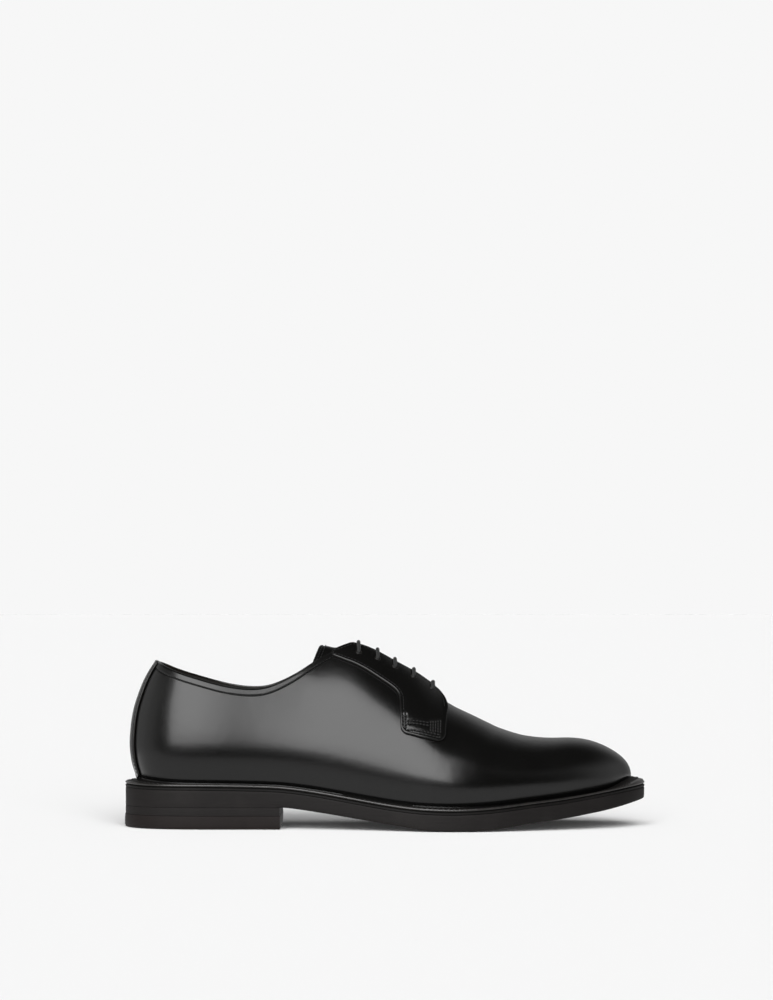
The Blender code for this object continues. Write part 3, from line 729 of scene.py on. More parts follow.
def build_upper():
    v = upper_stations()
    top = upper_top(v)
    rise = column_rows(v, top)
    points = last_point(v[:, None], rise)
    normals = skin_normal(v[:, None], rise)
    below = below_top(points)
    band = 0.30 * smooth(COLLAR_BAND + 0.1, COLLAR_BAND - 0.5, below) * smooth(-0.2, 0.5, below)
    groove = -0.34 * np.exp(-((below - COLLAR_BAND - 0.25) / 0.32) ** 2)
    above = below[:, :1] - below
    ends = smooth(0.5, 7.0, TOE_V - np.abs(v)) * smooth(2.0, 9.0, np.abs(v))
    tuck = -0.75 * np.exp(-(above / 0.9) ** 2) * ends[:, None]
    height = (band + groove) * collar_share(v)[:, None] + crease_height(v[:, None], rise, points) + tuck
    points = points + normals * height[..., None]
    foot = points[:, :1].copy()
    foot[..., 2] -= 1.4
    outer = np.concatenate([foot, points], axis=1)
    # The rolled top edge, over the open columns only.
    pick = np.where(station(v)[1] < SLOT_FRONT - 0.01)[0]
    edge, normal = points[pick, -1][:, None], normals[pick, -1][:, None]
    tangent = unit(points[pick, -1] - points[pick, -3])[:, None]
    turns = np.linspace(0, np.pi, 7)[None, :, None]
    roll = edge + normal * (WALL / 2) * (np.cos(turns) - 1) + tangent * (WALL / 2) * np.sin(turns)
    faces = grid_faces(*outer.shape[:2]) + grid_faces(*roll.shape[:2], outer.shape[0] * outer.shape[1])
    points = np.concatenate([outer.reshape(-1, 3), roll.reshape(-1, 3)])
    leather = make_piece("upper_leather", points, faces, [BLACK_LEATHER], closed=False)
    dress(leather, "upper_leather", "upper")
    build_lining(v, top)
    return v


def build_lining(v, top):
    """The inside of the upper: a black band under the collar, tan lining below it."""
    v = np.clip(v, 2.5 - TOE_V, TOE_V - 2.5)
    rise, length = column_lengths(v, top)
    total = length[:, -1:]
    band = COLLAR_LINING_DEPTH * collar_share(v)[:, None]
    band_rows, lower_rows = 8, 40
    black = band * np.linspace(0, 1, band_rows)
    tan = band + (total - band) * np.linspace(0, 1, lower_rows + 1)[1:]
    depth = np.concatenate([black, tan], axis=1)[:, ::-1]
    rows = np.array([np.interp(total[i] - depth[i], length[i], rise[i]) for i in range(len(v))])
    inner = skin(v[:, None], rows, -WALL)
    inner[:, 0, 2] -= 0.8
    faces = [f[::-1] for f in grid_faces(*inner.shape[:2], wrap_rows=True)]
    kinds = [int(i % (inner.shape[1] - 1) >= lower_rows) for i in range(len(faces))]
    lining = make_piece("lining", inner.reshape(-1, 3), faces, [LINING, COLLAR_LINING], kinds, closed=False)
    dress(lining, "insole_leather")


# Panels on the last: an outline of (v, rise) places, its rounded edge, and an inside filled with triangles.

def loop_metric(outline, height):
    """Points, normals and inward directions round a closed outline."""
    points, normals = skin_at(outline, height), normal_at(outline)
    run = unit(np.roll(points, -1, 0) - np.roll(points, 1, 0))
    return points, normals, np.cross(normals, run)


def resample_places(places, pitch, closed=True):
    """The same route with places at an even distance on the shoe."""
    route = np.vstack([places, places[:1]]) if closed else places
    length = way_along(last_at(route))
    count = max(int(round(length[-1] / pitch)), 3)
    want = np.linspace(0, length[-1], count + 1)
    if closed:
        want = want[:-1]
    return np.stack([np.interp(want, length, route[:, i]) for i in (0, 1)], axis=1)


def soften(places, passes, closed=True):
    """Cuts the corners of a route, each pass rounder."""
    for _ in range(passes):
        after = np.roll(places, -1, 0)
        cut = np.stack([0.75 * places + 0.25 * after, 0.25 * places + 0.75 * after], axis=1).reshape(-1, 2)
        places = cut if closed else np.vstack([places[:1], cut[1:-2], places[-1:]])
    return places


def move_in(outline, distance, limit=9.0):
    """The outline moved in over the skin by a distance in millimetres, eased a little at tight corners."""
    steps = max(int(math.ceil(distance / 0.3)), 1)
    each = np.minimum(distance, limit) / steps
    each = each[:, None] if np.ndim(each) else each
    small = 0.004
    for _ in range(steps):
        _, _, inward = loop_metric(outline, 0.0)
        v, rise = outline[:, 0], outline[:, 1]
        along = (last_point(v + 0.2, rise) - last_point(v - 0.2, rise)) / 0.4
        up = (last_point(v, rise + small) - last_point(v, rise - small)) / 2 / small
        aa, bb = (along * along).sum(1), (up * up).sum(1)
        ab, ai, bi = (along * up).sum(1), (along * inward).sum(1), (up * inward).sum(1)
        det = aa * bb - ab * ab
        step = np.stack([(ai * bb - bi * ab) / det, (bi * aa - ai * ab) / det], axis=1)
        outline = outline + step * each
        if distance > 0.2:
            outline = 0.6 * outline + 0.2 * np.roll(outline, 1, 0) + 0.2 * np.roll(outline, -1, 0)
    return outline


def inside(polygon, points):
    """Which points lie in a polygon."""
    x, y = points[:, 0], points[:, 1]
    result = np.zeros(len(points), bool)
    for (x0, y0), (x1, y1) in zip(polygon, np.roll(polygon, -1, 0)):
        crosses = (y0 > y) != (y1 > y)
        at = (x1 - x0) * (y - y0) / np.where(y1 == y0, 1e-12, y1 - y0) + x0
        result ^= crosses & (x < at)
    return result


def clear_of(loops, points, distance):
    """Which points keep a distance from all loops of points."""
    keep = np.ones(len(points), bool)
    for loop in loops:
        gap = np.linalg.norm(points[:, None, :] - loop[None, :, :], axis=2).min(axis=1)
        keep &= gap > distance
    return keep


def spread(flat, pitch, keep):
    """Points in even rows that fill the first loop round the others, where keep(points) is true."""
    low, high = flat[0].min(0), flat[0].max(0)
    across = np.arange(low[0], high[0], pitch)
    up = np.arange(low[1], high[1], pitch * 0.87)
    shift = np.where(np.arange(len(up)) % 2, pitch / 2, 0.0)
    grid = np.stack(np.broadcast_arrays(across[None, :] + shift[:, None], up[:, None]), axis=-1)
    grid = grid.reshape(-1, 2)
    grid = grid[keep(grid)]
    grid = grid[inside(flat[0], grid) & clear_of(flat, grid, pitch * 0.6)]
    for hole in flat[1:]:
        grid = grid[~inside(hole, grid)]
    return grid


def fill(outline, holes, pitch, scale, fine=None):
    """Triangles that fill an outline round its holes, smaller ones where fine(places) is true.

    Returns all places, the triangles and each loop point's index.
    """
    flat = [outline * scale] + [hole * scale for hole in holes]
    if fine is None:
        grid = spread(flat, pitch, lambda points: np.ones(len(points), bool))
    else:
        grid = np.vstack([spread(flat, pitch, lambda points: ~fine(points / scale)),
                          spread(flat, pitch * 0.34, lambda points: fine(points / scale))])
    edges, start = [], 0
    for loop in flat:
        count = len(loop)
        edges += [(start + i, start + (i + 1) % count) for i in range(count)]
        start += count
    places = np.vstack(flat + [grid])
    made = delaunay_2d_cdt([Vector(p) for p in places.tolist()], edges, [], 0, 1e-7)
    points = np.array([tuple(p) for p in made[0]])
    triangles = np.array(made[2])
    centre = points[triangles].mean(axis=1)
    keep = inside(flat[0], centre)
    for hole in flat[1:]:
        keep &= ~inside(hole, centre)
    index = np.arange(len(places))
    for new, olds in enumerate(made[3]):
        index[list(olds)] = new
    return points / scale, triangles[keep], index


def build_panel(name, outline, base, thickness, bead, materials, holes=(), pitch=1.1, scale=(1.0, 60.0),
                limit=9.0, fine=None, dent=None):
    """A leather panel on the last with a rounded, slightly raised edge.

    base gives the height of its underside, dent how deep its top is pressed in, and fine where that needs
    small faces.
    """
    rings = (
        # distance in from the edge, height over the underside
        (0.5, 0.0), (0.12, 0.04), (0.0, 0.22), (0.0, thickness - 0.35), (0.10, thickness - 0.12),
        (0.32, thickness + bead * 0.7), (0.65, thickness + bead), (1.0, thickness + bead * 0.55),
        (1.5, thickness),
    )
    scale = np.array(scale)
    loops, points, faces, rims = [], [], [], []
    count = len(outline)
    for distance, height in rings:
        loop = move_in(outline, distance, limit)
        loops.append(loop)
        points.append(skin_at(loop, base(loop) + height))
    faces += grid_faces(len(rings), count, wrap_across=True)
    total = len(rings) * count
    kinds = [1 if i // count < 3 else 0 for i in range(len(faces))]
    for loop, height, flip in ((loops[-1], thickness, False), (loops[0], 0.0, True)):
        places, triangles, index = fill(loop, holes, pitch, scale, None if flip else fine)
        pressed = dent(places) if dent is not None and not flip else 0.0
        points.append(skin_at(places, base(places) + height - pressed))
        made = (triangles + total).tolist()
        faces += [t[::-1] for t in made] if flip else made
        kinds += [0] * len(made)
        rims.append((index + total).tolist())
        total += len(places)
    over, under = rims
    start = count
    for hole in holes:
        size = len(hole)
        ring = [(start + i, start + (i + 1) % size) for i in range(size)]
        faces += [(over[a], over[b], under[b], under[a]) for a, b in ring]
        kinds += [1] * size
        start += size
    return make_piece(name, np.concatenate(points), faces, materials, kinds, sharp=50.0)


# Threads.

# Kinds of stitch: pitch, gap between two and width.
EDGE_STITCH = (2.1, 0.5, 0.42)
SEAM_STITCH = (2.2, 0.5, 0.42)
COLLAR_STITCH = (2.2, 0.55, 0.40)
TAB_STITCH = (1.9, 0.45, 0.95)
WELT_STITCH = (3.1, 0.75, 0.75)
STITCH_SHAPE = (
    # share of the half length, share of the width
    (-1.0, 0.25), (-0.8, 0.8), (-0.35, 1.0), (0.35, 1.0), (0.8, 0.8), (1.0, 0.25),
)


def thread_row(points, normals, stitch):
    """Small rounded stitches along a route of points."""
    pitch, gap, width = stitch
    length = way_along(points)

    def at(way, values):
        return np.array([np.interp(way, length, values[:, i]) for i in range(3)])

    count = max(int(length[-1] // pitch), 1)
    reach = (length[-1] / count - gap) / 2
    turn = np.arange(6)[:, None] * np.pi / 3
    stitches = []
    for middle in (np.arange(count) + 0.5) * (length[-1] / count):
        rings = []
        for share, fat in STITCH_SHAPE:
            way = middle + share * reach
            normal = unit(at(way, normals))
            across = unit(np.cross(at(way + 0.2, points) - at(way - 0.2, points), normal))
            ring = at(way, points) + width / 2 * fat * (np.cos(turn) * across + np.sin(turn) * normal)
            rings.append(ring + normal * (-abs(share) ** 3 * width * 0.35))
        stitches.append(np.array(rings))
    return stitches


def skin_row(places, height, stitch):
    """Stitches along places on the skin."""
    return thread_row(skin_at(places, height), normal_at(places), stitch)


def build_threads(name, stitches, material):
    points, faces = [], []
    total = 0
    for rings in stitches:
        rows, around, _ = rings.shape
        points.append(rings.reshape(-1, 3))
        faces += grid_faces(rows, around, total, wrap_across=True)
        faces.append(tuple(total + i for i in range(around))[::-1])
        faces.append(tuple(total + (rows - 1) * around + i for i in range(around)))
        total += rows * around
    return make_piece(name, np.concatenate(points), faces, [material], sharp=80.0)


# Facings.

def facing_distance(x):
    """From the ridge to the facing's throat edge."""
    return THROAT_EDGE + at_x(FACING_ROUND, x)


def facing_limits(side, x):
    """Rise of the facing's lower seam and of its throat edge at each x."""
    v = v_at(side, x)
    low = rise_at_height(v, at_x(FACING_LOW, x) - GAP)
    return low, rise_off_ridge(v, facing_distance(x))


class FacingBase:
    """Height of a facing's underside: it lifts off the vamp towards its front throat corner."""

    def __init__(self, side):
        self.x = np.linspace(-34.0, 36.0, 141)
        self.low, self.high = facing_limits(side, self.x)

    def __call__(self, places):
        x = station(places[:, 0])[1]
        low = np.interp(x, self.x, self.low)
        high = np.interp(x, self.x, self.high)
        share = np.clip((places[:, 1] - low) / (high - low), 0, 1)
        return FACING_OFF + FACING_STAND * smooth(2.0, 30.0, x) * share ** 2


def facing_outline(side):
    """The facing's edge: down the lower seam, round the tab, up its front and back along the throat."""
    low_x = np.array([row[0] for row in FACING_LOW])
    low_x = np.concatenate([[-31.0, -28.2], low_x[low_x > -28.0]])
    low, _ = facing_limits(side, low_x)
    up_x = np.array([34.2, 33.9, 33.2, 31.4, 28.4, 24.0, 18.0, 12.0, 6.0, 0.0, -6.0, -12.0, -17.0])
    _, high = facing_limits(side, up_x)
    back_x = np.array([-19.5, -22.0, -25.0, -27.8, -30.6])
    collar = collar_rise(v_at(side, back_x)) + 0.012
    front_x = np.array([34.1, 34.2, 34.2])
    front = low[-1] + (high[0] - low[-1]) * np.array([0.15, 0.5, 0.85])
    x = np.concatenate([low_x, front_x, up_x, back_x])
    rise = np.concatenate([low, front, high, collar])
    places = np.stack([v_at(side, x), rise], axis=1)
    return resample_places(soften(resample_places(places, 2.2), 2), 0.62)


def eyelet_places(side):
    v = v_at(side, np.array(EYELETS))
    return np.stack([v, rise_off_ridge(v, EYELET_OUT[side])], axis=1)


def eyelet_circles(side, radius):
    """A small loop of places round each lace hole."""
    circles = []
    small = 0.004
    for v, rise in eyelet_places(side):
        along = last_point(v + 0.2, rise) - last_point(v - 0.2, rise)
        up = last_point(v, rise + small) - last_point(v, rise - small)
        along_size = np.linalg.norm(along) / 0.4
        across = np.dot(unit(along), up) / 2 / small
        up_size = math.sqrt(max(np.dot(up, up) / (2 * small) ** 2 - across ** 2, 1e-6))
        turn = np.linspace(0, math.tau, 20, endpoint=False)
        d_rise = radius * np.sin(turn) / up_size
        d_v = (radius * np.cos(turn) - across * d_rise) / along_size
        circles.append(np.stack([v + d_v, rise + d_rise], axis=1))
    return circles


def route_on_face(side, rows):
    """Places for a route given as x and z, seen from the side."""
    table = np.array(rows, float)
    v = v_at(side, table[:, 0])
    return np.stack([v, rise_at_height(v, table[:, 1] - GAP)], axis=1)


TAB_STITCHES = (
    # routes of x, z on the tab: left pair, top pair, bottom pair, and the block by the front edge
    ((9.9, 64.9), (9.9, 57.2)), ((11.6, 64.9), (11.6, 56.8)),
    ((13.0, 61.5), (24.6, 60.0)), ((13.0, 60.0), (24.6, 58.5)),
    ((12.0, 56.7), (30.6, 53.3)), ((12.6, 55.2), (30.2, 51.9)),
    ((25.4, 61.0), (25.4, 55.2)), ((26.8, 61.0), (26.8, 55.0)), ((28.2, 61.0), (28.2, 54.8)),
    ((29.6, 61.0), (29.6, 54.5)), ((31.0, 61.0), (31.0, 54.2)),
)
TAB_TOP = 67.2            # the stitched box and its fine mesh end here
DENT = 0.45               # how deep the stitches pull the leather in


def tab_routes(side):
    return [resample_places(route_on_face(side, rows), 0.5, closed=False) for rows in TAB_STITCHES]


def on_tab(places):
    points = last_at(places)
    return (points[:, 2] < TAB_TOP) & (points[:, 0] < 32.6)


def tab_dent(side):
    """A function that gives how deep the leather is pulled in beside the tab's stitches."""
    route = np.concatenate([last_at(places) for places in tab_routes(side)])

    def dent(places):
        depth = np.zeros(len(places))
        near = np.where(on_tab(places))[0]
        gap = np.linalg.norm(last_at(places[near])[:, None] - route[None], axis=2).min(axis=1)
        depth[near] = DENT * np.exp(-(gap / 0.62) ** 2)
        return depth
    return dent


def build_facing(side):
    base = FacingBase(side)
    outline = facing_outline(side)
    if side > 0:
        outline = outline[::-1]
    x = station(outline[:, 0])[1]
    limit = np.where(x < -22.0, np.maximum(0.42 * (topline(x) - at_x(FACING_LOW, x)), 0.3), 9.0)
    name = "facing_outer" if side < 0 else "facing_inner"
    panel = build_panel(f"{name}_leather", outline, base, FACING, 0.16, [BLACK_LEATHER, INKED_EDGE],
                        eyelet_circles(side, EYELET / 2), pitch=1.0, limit=limit, fine=on_tab,
                        dent=tab_dent(side))
    dress(panel, "upper_leather", name)
    # The row along the edge stops where the tab's own stitches begin.
    loop = move_in(outline, 1.9, limit)
    boxed = last_at(loop)[:, 2] < TAB_TOP
    start = int(np.argmax(np.roll(boxed, 1) & ~boxed))
    loop = np.roll(loop, -start, 0)[:int(np.sum(~boxed))]
    stitches = skin_row(loop, base(loop) + FACING + 0.05, EDGE_STITCH)
    for places in tab_routes(side):
        stitches += skin_row(places, base(places) + FACING - 0.16, TAB_STITCH)
    dress(build_threads(f"{name}_stitches", stitches, THREAD), "upper_leather")
    return base


EYELET_RING = (
    # radius, height over the facing
    (1.95, -0.05), (1.9, 0.12), (1.72, 0.2), (1.54, 0.12), (1.45, -0.1), (1.45, -1.5),
)


def build_eyelets(side, base):
    """A thin black ring let into each lace hole."""
    points, faces = [], []
    total = 0
    for centre, circle in zip(eyelet_places(side)[:, None], eyelet_circles(side, 1.0)):
        middle, normal = skin_at(centre, base(centre) + FACING)[0], normal_at(centre)[0]
        spokes = unit(skin_at(circle, base(circle) + FACING) - middle)
        ring = np.array([middle + spokes * radius + normal * height for radius, height in EYELET_RING])
        faces += grid_faces(*ring.shape[:2], total, wrap_across=True)
        points.append(ring.reshape(-1, 3))
        total += len(points[-1])
    name = "eyelets_outer" if side < 0 else "eyelets_inner"
    dress(make_piece(name, np.concatenate(points), faces, [INKED_EDGE]), "upper_leather")


# Tongue.

TONGUE_DROP = WALL + 2 * GAP      # its top lies this far under the upper's skin
TONGUE_FRONT = 44.0       # x of its hidden front end


def ridge_places(x, across):
    """Places beside the ridge: negative across is the outer side."""
    v = v_at(np.where(across < 0, -1.0, 1.0), x)
    return v, rise_off_ridge(v, np.abs(across))


def tongue_end(across):
    """The tongue's top edge bows back at its corners."""
    return -38.5 - 3.4 * (np.abs(across) / 17.0) ** 2


def build_tongue():
    steps = np.linspace(-1, 1, 61)
    runs = np.concatenate([np.linspace(0, 0.93, 60), np.linspace(0.935, 1.0, 22)])
    half = np.interp(runs, (0, 0.3, 0.7, 0.95, 1.0), (15.0, 20.0, 23.0, 21.0, 18.6))
    across = half[:, None] * steps[None, :]
    x = TONGUE_FRONT + (tongue_end(across) - TONGUE_FRONT) * runs[:, None]
    v, rise = ridge_places(x, across)
    from_end = (1 - runs)[:, None] * 82.0
    from_side = (1 - np.abs(steps))[None, :] * half[:, None]
    near = np.minimum(from_end, from_side)
    fold = 0.22 * np.exp(-((near - 1.2) / 0.8) ** 2) - 0.22 * np.exp(-((near - 2.6) / 0.35) ** 2)
    thin = -0.5 * smooth(0.8, 0.0, near)
    dip = -1.7 * np.exp(-((x + 29.0) / 4.5) ** 2)
    outer = skin(v, rise, -TONGUE_DROP + fold + thin + dip)
    inner = skin(v, rise, -TONGUE_DROP - TONGUE - thin + dip)
    rows, wide = outer.shape[:2]
    faces = grid_faces(rows, wide)
    faces += [f[::-1] for f in grid_faces(rows, wide, rows * wide)]
    index = np.arange(rows * wide).reshape(rows, wide)
    border = np.concatenate([index[0], index[1:, -1], index[-1, -2::-1], index[-2:0:-1, 0]])
    after = np.roll(border, -1)
    faces += np.stack([border, after, after + rows * wide, border + rows * wide], axis=1).tolist()
    kinds = [0] * ((rows - 1) * (wide - 1)) + [2] * ((rows - 1) * (wide - 1)) + [1] * len(border)
    points = np.concatenate([outer.reshape(-1, 3), inner.reshape(-1, 3)])
    materials = [BLACK_LEATHER, INKED_EDGE, LINING]
    tongue = make_piece("tongue_leather", points, faces, materials, kinds, sharp=50.0)
    dress(tongue, "upper_leather", "tongue")
    stitches = []
    cross = np.linspace(-18.0, 18.0, 60)
    for inset in (1.9, 3.6):
        places = np.stack(ridge_places(tongue_end(cross) + inset, cross), axis=1)
        stitches += skin_row(places, -TONGUE_DROP + 0.05, SEAM_STITCH)
    dress(build_threads("tongue_stitches", stitches, THREAD), "upper_leather")


# Back strip and collar.

STRIP_FOOT = 30.2         # the back strip is drawn down towards the welt below this height


def build_back_strip():
    side_v = STRIP_REACH
    top_v = np.linspace(-side_v, side_v, 9)
    top = np.stack([top_v, collar_rise(top_v) + 0.004], axis=1)
    low = [[side_v, 0.3], [side_v, -0.2], [side_v, -0.93], [side_v / 2, -0.95], [0.0, -0.95],
           [-side_v / 2, -0.95], [-side_v, -0.93], [-side_v, -0.2], [-side_v, 0.3]]
    places = np.vstack([top, low])
    outline = resample_places(soften(resample_places(places, 2.4), 2), 0.7)
    panel = build_panel("back_strip_leather", outline, lambda p: np.full(len(p), GAP), STRIP - 0.1, 0.1,
                        [BLACK_LEATHER, INKED_EDGE], pitch=1.2, scale=(1.0, 45.0))
    for vertex in panel.data.vertices:      # its foot runs down behind the welt's edge
        vertex.co.z -= 0.5 * max(0.0, STRIP_FOOT * MM - vertex.co.z)
    dress(panel, "upper_leather", "back_strip")
    stitches = []
    for side in (-1, 1):
        rise = np.linspace(-0.86, float(collar_rise(np.array([side * side_v]))[0]) - 0.02, 80)
        places = np.stack([np.full(len(rise), side * (side_v - 1.6)), rise], axis=1)
        stitches += skin_row(places, GAP + STRIP, SEAM_STITCH)
    dress(build_threads("back_strip_stitches", stitches, THREAD), "upper_leather")


def build_collar_stitches(v):
    """The row in the groove under the folded collar edge."""
    open_v = v[(collar_share(v) > 0.5) & (np.abs(v) > STRIP_REACH + 0.5)]
    stitches = []
    for side in (-1, 1):
        route = np.sort(open_v[np.sign(open_v) == side])
        rise = column_rows(route, upper_top(route))
        below = below_top(last_point(route[:, None], rise))
        at = [np.interp(COLLAR_BAND + 0.25, below[i][::-1], rise[i][::-1]) for i in range(len(route))]
        stitches += skin_row(np.stack([route, at], axis=1), -0.12, COLLAR_STITCH)
    dress(build_threads("collar_stitches", stitches, THREAD), "upper_leather")


# Lace.

LACE_OVER = (
    # share of the way from a hole to the throat edge, height over the facing
    (0.0, -2.6), (0.0, -0.9), (0.04, 0.25), (0.2, 0.8), (0.55, 0.85), (0.95, 0.85),
)


def lace_route(bases):
    """One lace: up through a hole, over to the other side, down and along to the next hole, and back."""
    share, height = np.array(LACE_OVER).T
    route = []
    for index, x in enumerate(EYELETS):
        halves = []
        for side, base in zip((-1, 1), bases):
            xs = x - LACE_LEAN * share
            v = v_at(side, xs)
            hole = rise_off_ridge(v, EYELET_OUT[side])
            edge = rise_off_ridge(v, facing_distance(xs))
            places = np.stack([v, hole + (edge - hole) * share], axis=1)
            halves.append(skin_at(places, base(places) + FACING + height))
        middle = (halves[0][-1] + halves[1][-1]) / 2 - np.array([0.0, 0.0, 0.2])
        bar = np.vstack([halves[0], middle[None], halves[1][::-1]])
        route.append(bar if index % 2 == 0 else bar[::-1])
    return np.vstack(route)


def smooth_route(points, pitch):
    """A curve through the points, with a point at each pitch."""
    length = np.concatenate([[0], np.cumsum(np.linalg.norm(np.diff(points, axis=0), axis=1) ** 0.5)])
    curve = Line(np.column_stack([length, points]))
    fine = curve(np.linspace(0, length[-1], 4000))
    run = way_along(fine)
    want = np.linspace(0, run[-1], int(run[-1] / pitch))
    return np.stack([np.interp(want, run, fine[:, i]) for i in range(3)], axis=1), want


def build_lace(bases):
    centre, run = smooth_route(lace_route(bases), 0.45)
    around = 14
    ahead = unit(np.gradient(centre, axis=0))
    frame_x = np.zeros_like(centre)
    frame_x[0] = unit(np.cross(ahead[0], np.array([0.0, 0.0, 1.0])))
    for i in range(1, len(centre)):
        side = frame_x[i - 1] - ahead[i] * np.dot(frame_x[i - 1], ahead[i])
        frame_x[i] = unit(side)
    frame_y = np.cross(ahead, frame_x)
    turn = np.arange(around + 1) * math.tau / around
    ring = np.cos(turn)[None, :, None] * frame_x[:, None] + np.sin(turn)[None, :, None] * frame_y[:, None]
    points = centre[:, None] + ring * LACE / 2
    rows = len(centre)
    mesh = bpy.data.meshes.new("lace_cord")
    faces = grid_faces(rows, around + 1)
    mesh.from_pydata((points.reshape(-1, 3) * MM).tolist(), [], faces)
    chart = mesh.uv_layers.new(name="plait")
    along = np.repeat(run, around + 1)
    about = np.tile(turn * LACE / 2, rows)
    for loop in mesh.loops:
        chart.data[loop.index].uv = (along[loop.vertex_index], about[loop.vertex_index])
    mesh.shade_smooth()
    mesh.materials.append(LACE_FINISH)
    lace = bpy.data.objects.new("lace_cord", mesh)
    bpy.context.collection.objects.link(lace)
    dress(lace, "lace_cotton", *[f"lace_bar_{i}" for i in range(1, len(EYELETS) + 1)])


# Welt, outsole, heel and insole.

def ring_piece(name, rings, materials, slot, node, cap_low=None, cap_high=None, kinds=()):
    """A sweep round a closed edge, with its ends filled where a height function is given."""
    rows, around, _ = rings.shape
    points = [rings.reshape(-1, 3)]
    faces = grid_faces(rows, around, wrap_across=True, wrap_rows=cap_low is None and cap_high is None)
    total = rows * around
    for loop, height in ((rings[0], cap_low), (rings[-1], cap_high)):
        if height is None:
            continue
        places, triangles, index = fill(loop[:, :2], (), 4.0, np.array([1.0, 1.0]))
        z = height(places[:, 0])
        z[index[:around]] = loop[:, 2]
        points.append(np.column_stack([places, z]))
        faces += (triangles + total).tolist()
        total += len(places)
    kinds = [*kinds] + [0] * (len(faces) - len(kinds))
    dress(make_piece(name, np.concatenate(points), faces, materials, kinds), slot, node)


WHEEL_PITCH = 2.04        # marks pressed in under the welt's rim
WHEEL_DEPTH = 0.20


def build_welt():
    edge, inward, width = EDGE, INWARD, SEAM_INSET
    low, high = rim(edge[:, 0]), seam(FEATHER[:, 0])
    marks = 0.5 + 0.5 * np.cos(way_along(edge) * math.tau / WHEEL_PITCH)
    roll = 1.0 - 0.60 * smooth(105.0, 146.0, edge[:, 0]) - 0.35 * smooth(-122.0, -148.0, edge[:, 0])
    profile = [
        # share of the way in from the rim to the seam, extra inset, drop from the top surface
        (0.0, 2.0, WELT), (0.0, 0.25, WELT), (0.0, 0.05, WELT - 0.2), (0.0, 0.02, 1.92), (0.0, 0.40, 1.74),
        (0.0, 0.80, 1.40), (0.0, 0.40, 1.10), (0.0, -0.02, 0.92), (0.0, -0.06, 0.45), (0.0, 0.06, 0.12),
        (0.0, 0.30, -0.08), (0.10, 0.25, -0.05), (0.22, 0.2, 0.12), (0.40, 0.0, 0.30), (0.55, 0.0, 0.36),
        (0.70, 0.0, 0.26), (0.85, 0.0, 0.10), (1.0, 0.0, 0.0), (1.0, 1.9, 0.0), (1.0, 1.9, WELT),
    ]
    rings = []
    for share, extra, drop in profile:
        top = low + (high - low) * share ** roll
        if (share, extra, drop) == profile[-1]:
            top = low
        mark = WHEEL_DEPTH * marks if 0.8 < drop < 1.4 else 0.0
        flat = edge + inward * (width * share + extra + mark)[:, None]
        rings.append(np.column_stack([flat, top - drop]))
    # The bead's polished rows, more of them towards the toe, take the lighter copy: a painted highlight along
    # the rim.
    last = 10 + (edge[:, 0] > 100.0) + (edge[:, 0] > 113.0) + (edge[:, 0] > 124.0)
    bead = [int(7 <= row <= last[i]) for row in range(len(profile)) for i in range(len(edge))]
    ring_piece("welt_strip", np.array(rings), [WELT_SHADED_FINISH, RIM_LIT_FINISH], "welt_leather", "welt", kinds=bead)
    middle = (edge + inward * (width * 0.5)[:, None])[::2]
    low, high = low[::2], high[::2]
    top = low + (high - low) * 0.5 ** roll[::2] - 0.26
    row = np.column_stack([middle, top])
    row = np.vstack([row, row[:1]])
    normals = np.tile(np.array([0.0, 0.0, 1.0]), (len(row), 1))
    stitches = thread_row(row, normals, WELT_STITCH)
    dress(build_threads("welt_stitches", stitches, WELT_THREAD), "welt_leather")


def build_outsole():
    pick = np.linspace(0, len(EDGE), 560, endpoint=False).astype(int)
    edge, inward = EDGE[pick], INWARD[pick]
    low = underside(edge[:, 0])
    high = rim(edge[:, 0]) - WELT - 0.1
    profile = (
        # inset, share of the edge's height, extra height
        (2.6, 0.0, 0.0), (1.1, 0.0, 0.0), (0.62, 0.0, 0.14), (0.34, 0.0, 0.5), (0.22, 0.0, 1.1),
        (0.15, 0.35, 0.0), (0.12, 0.6, 0.0), (0.12, 0.85, 0.0), (0.14, 1.0, -0.65), (0.26, 1.0, -0.28),
        (0.50, 1.0, -0.08), (0.9, 1.0, 0.0), (2.6, 1.0, 0.0),
    )
    # The lower edge is rounded less where it meets the heel.
    free = 0.3 + 0.7 * smooth(HEEL_FRONT - 3.0, HEEL_FRONT + 1.0, edge[:, 0])
    rings = []
    for inset, share, extra in profile:
        ease = free if share == 0.0 and extra > 0.0 else np.ones(len(edge))
        flat = edge + inward * (0.12 + (inset - 0.12) * ease)[:, None]
        rings.append(np.column_stack([flat, low + (high - low) * share + extra * ease]))
    ring_piece("outsole_leather", np.array(rings), [SOLE_FINISH], "sole_edge", "outsole",
               cap_low=underside, cap_high=lambda x: rim(x) - WELT - 0.1)


def heel_loop(inset, notch, z):
    """The heel's outline: round the back and straight across the front, with its inner front corner cut."""
    edge = edge_inset(inset)
    outer, inner = side_edges(edge)
    back = edge[:, 0].min()
    front_x = HEEL_FRONT - inset * 0.5
    x = back + (front_x - back) * (1 - np.cos(np.linspace(0, 1, 150) * np.pi / 2)) ** 0.9
    near = np.column_stack([x, np.interp(x, outer[:, 0], outer[:, 1])])
    far_x = back + (x - back) * (front_x - notch - back) / (front_x - back)
    far = np.column_stack([far_x, np.interp(far_x, inner[:, 0], inner[:, 1])])
    front_y = np.linspace(near[-1, 1], far[-1, 1] - notch * 1.15, 24)[1:]
    front = np.column_stack([np.full(len(front_y), near[-1, 0]), front_y])
    loop = np.vstack([near, front, far[::-1][:-1]])
    return np.column_stack([loop, np.full(len(loop), z)])


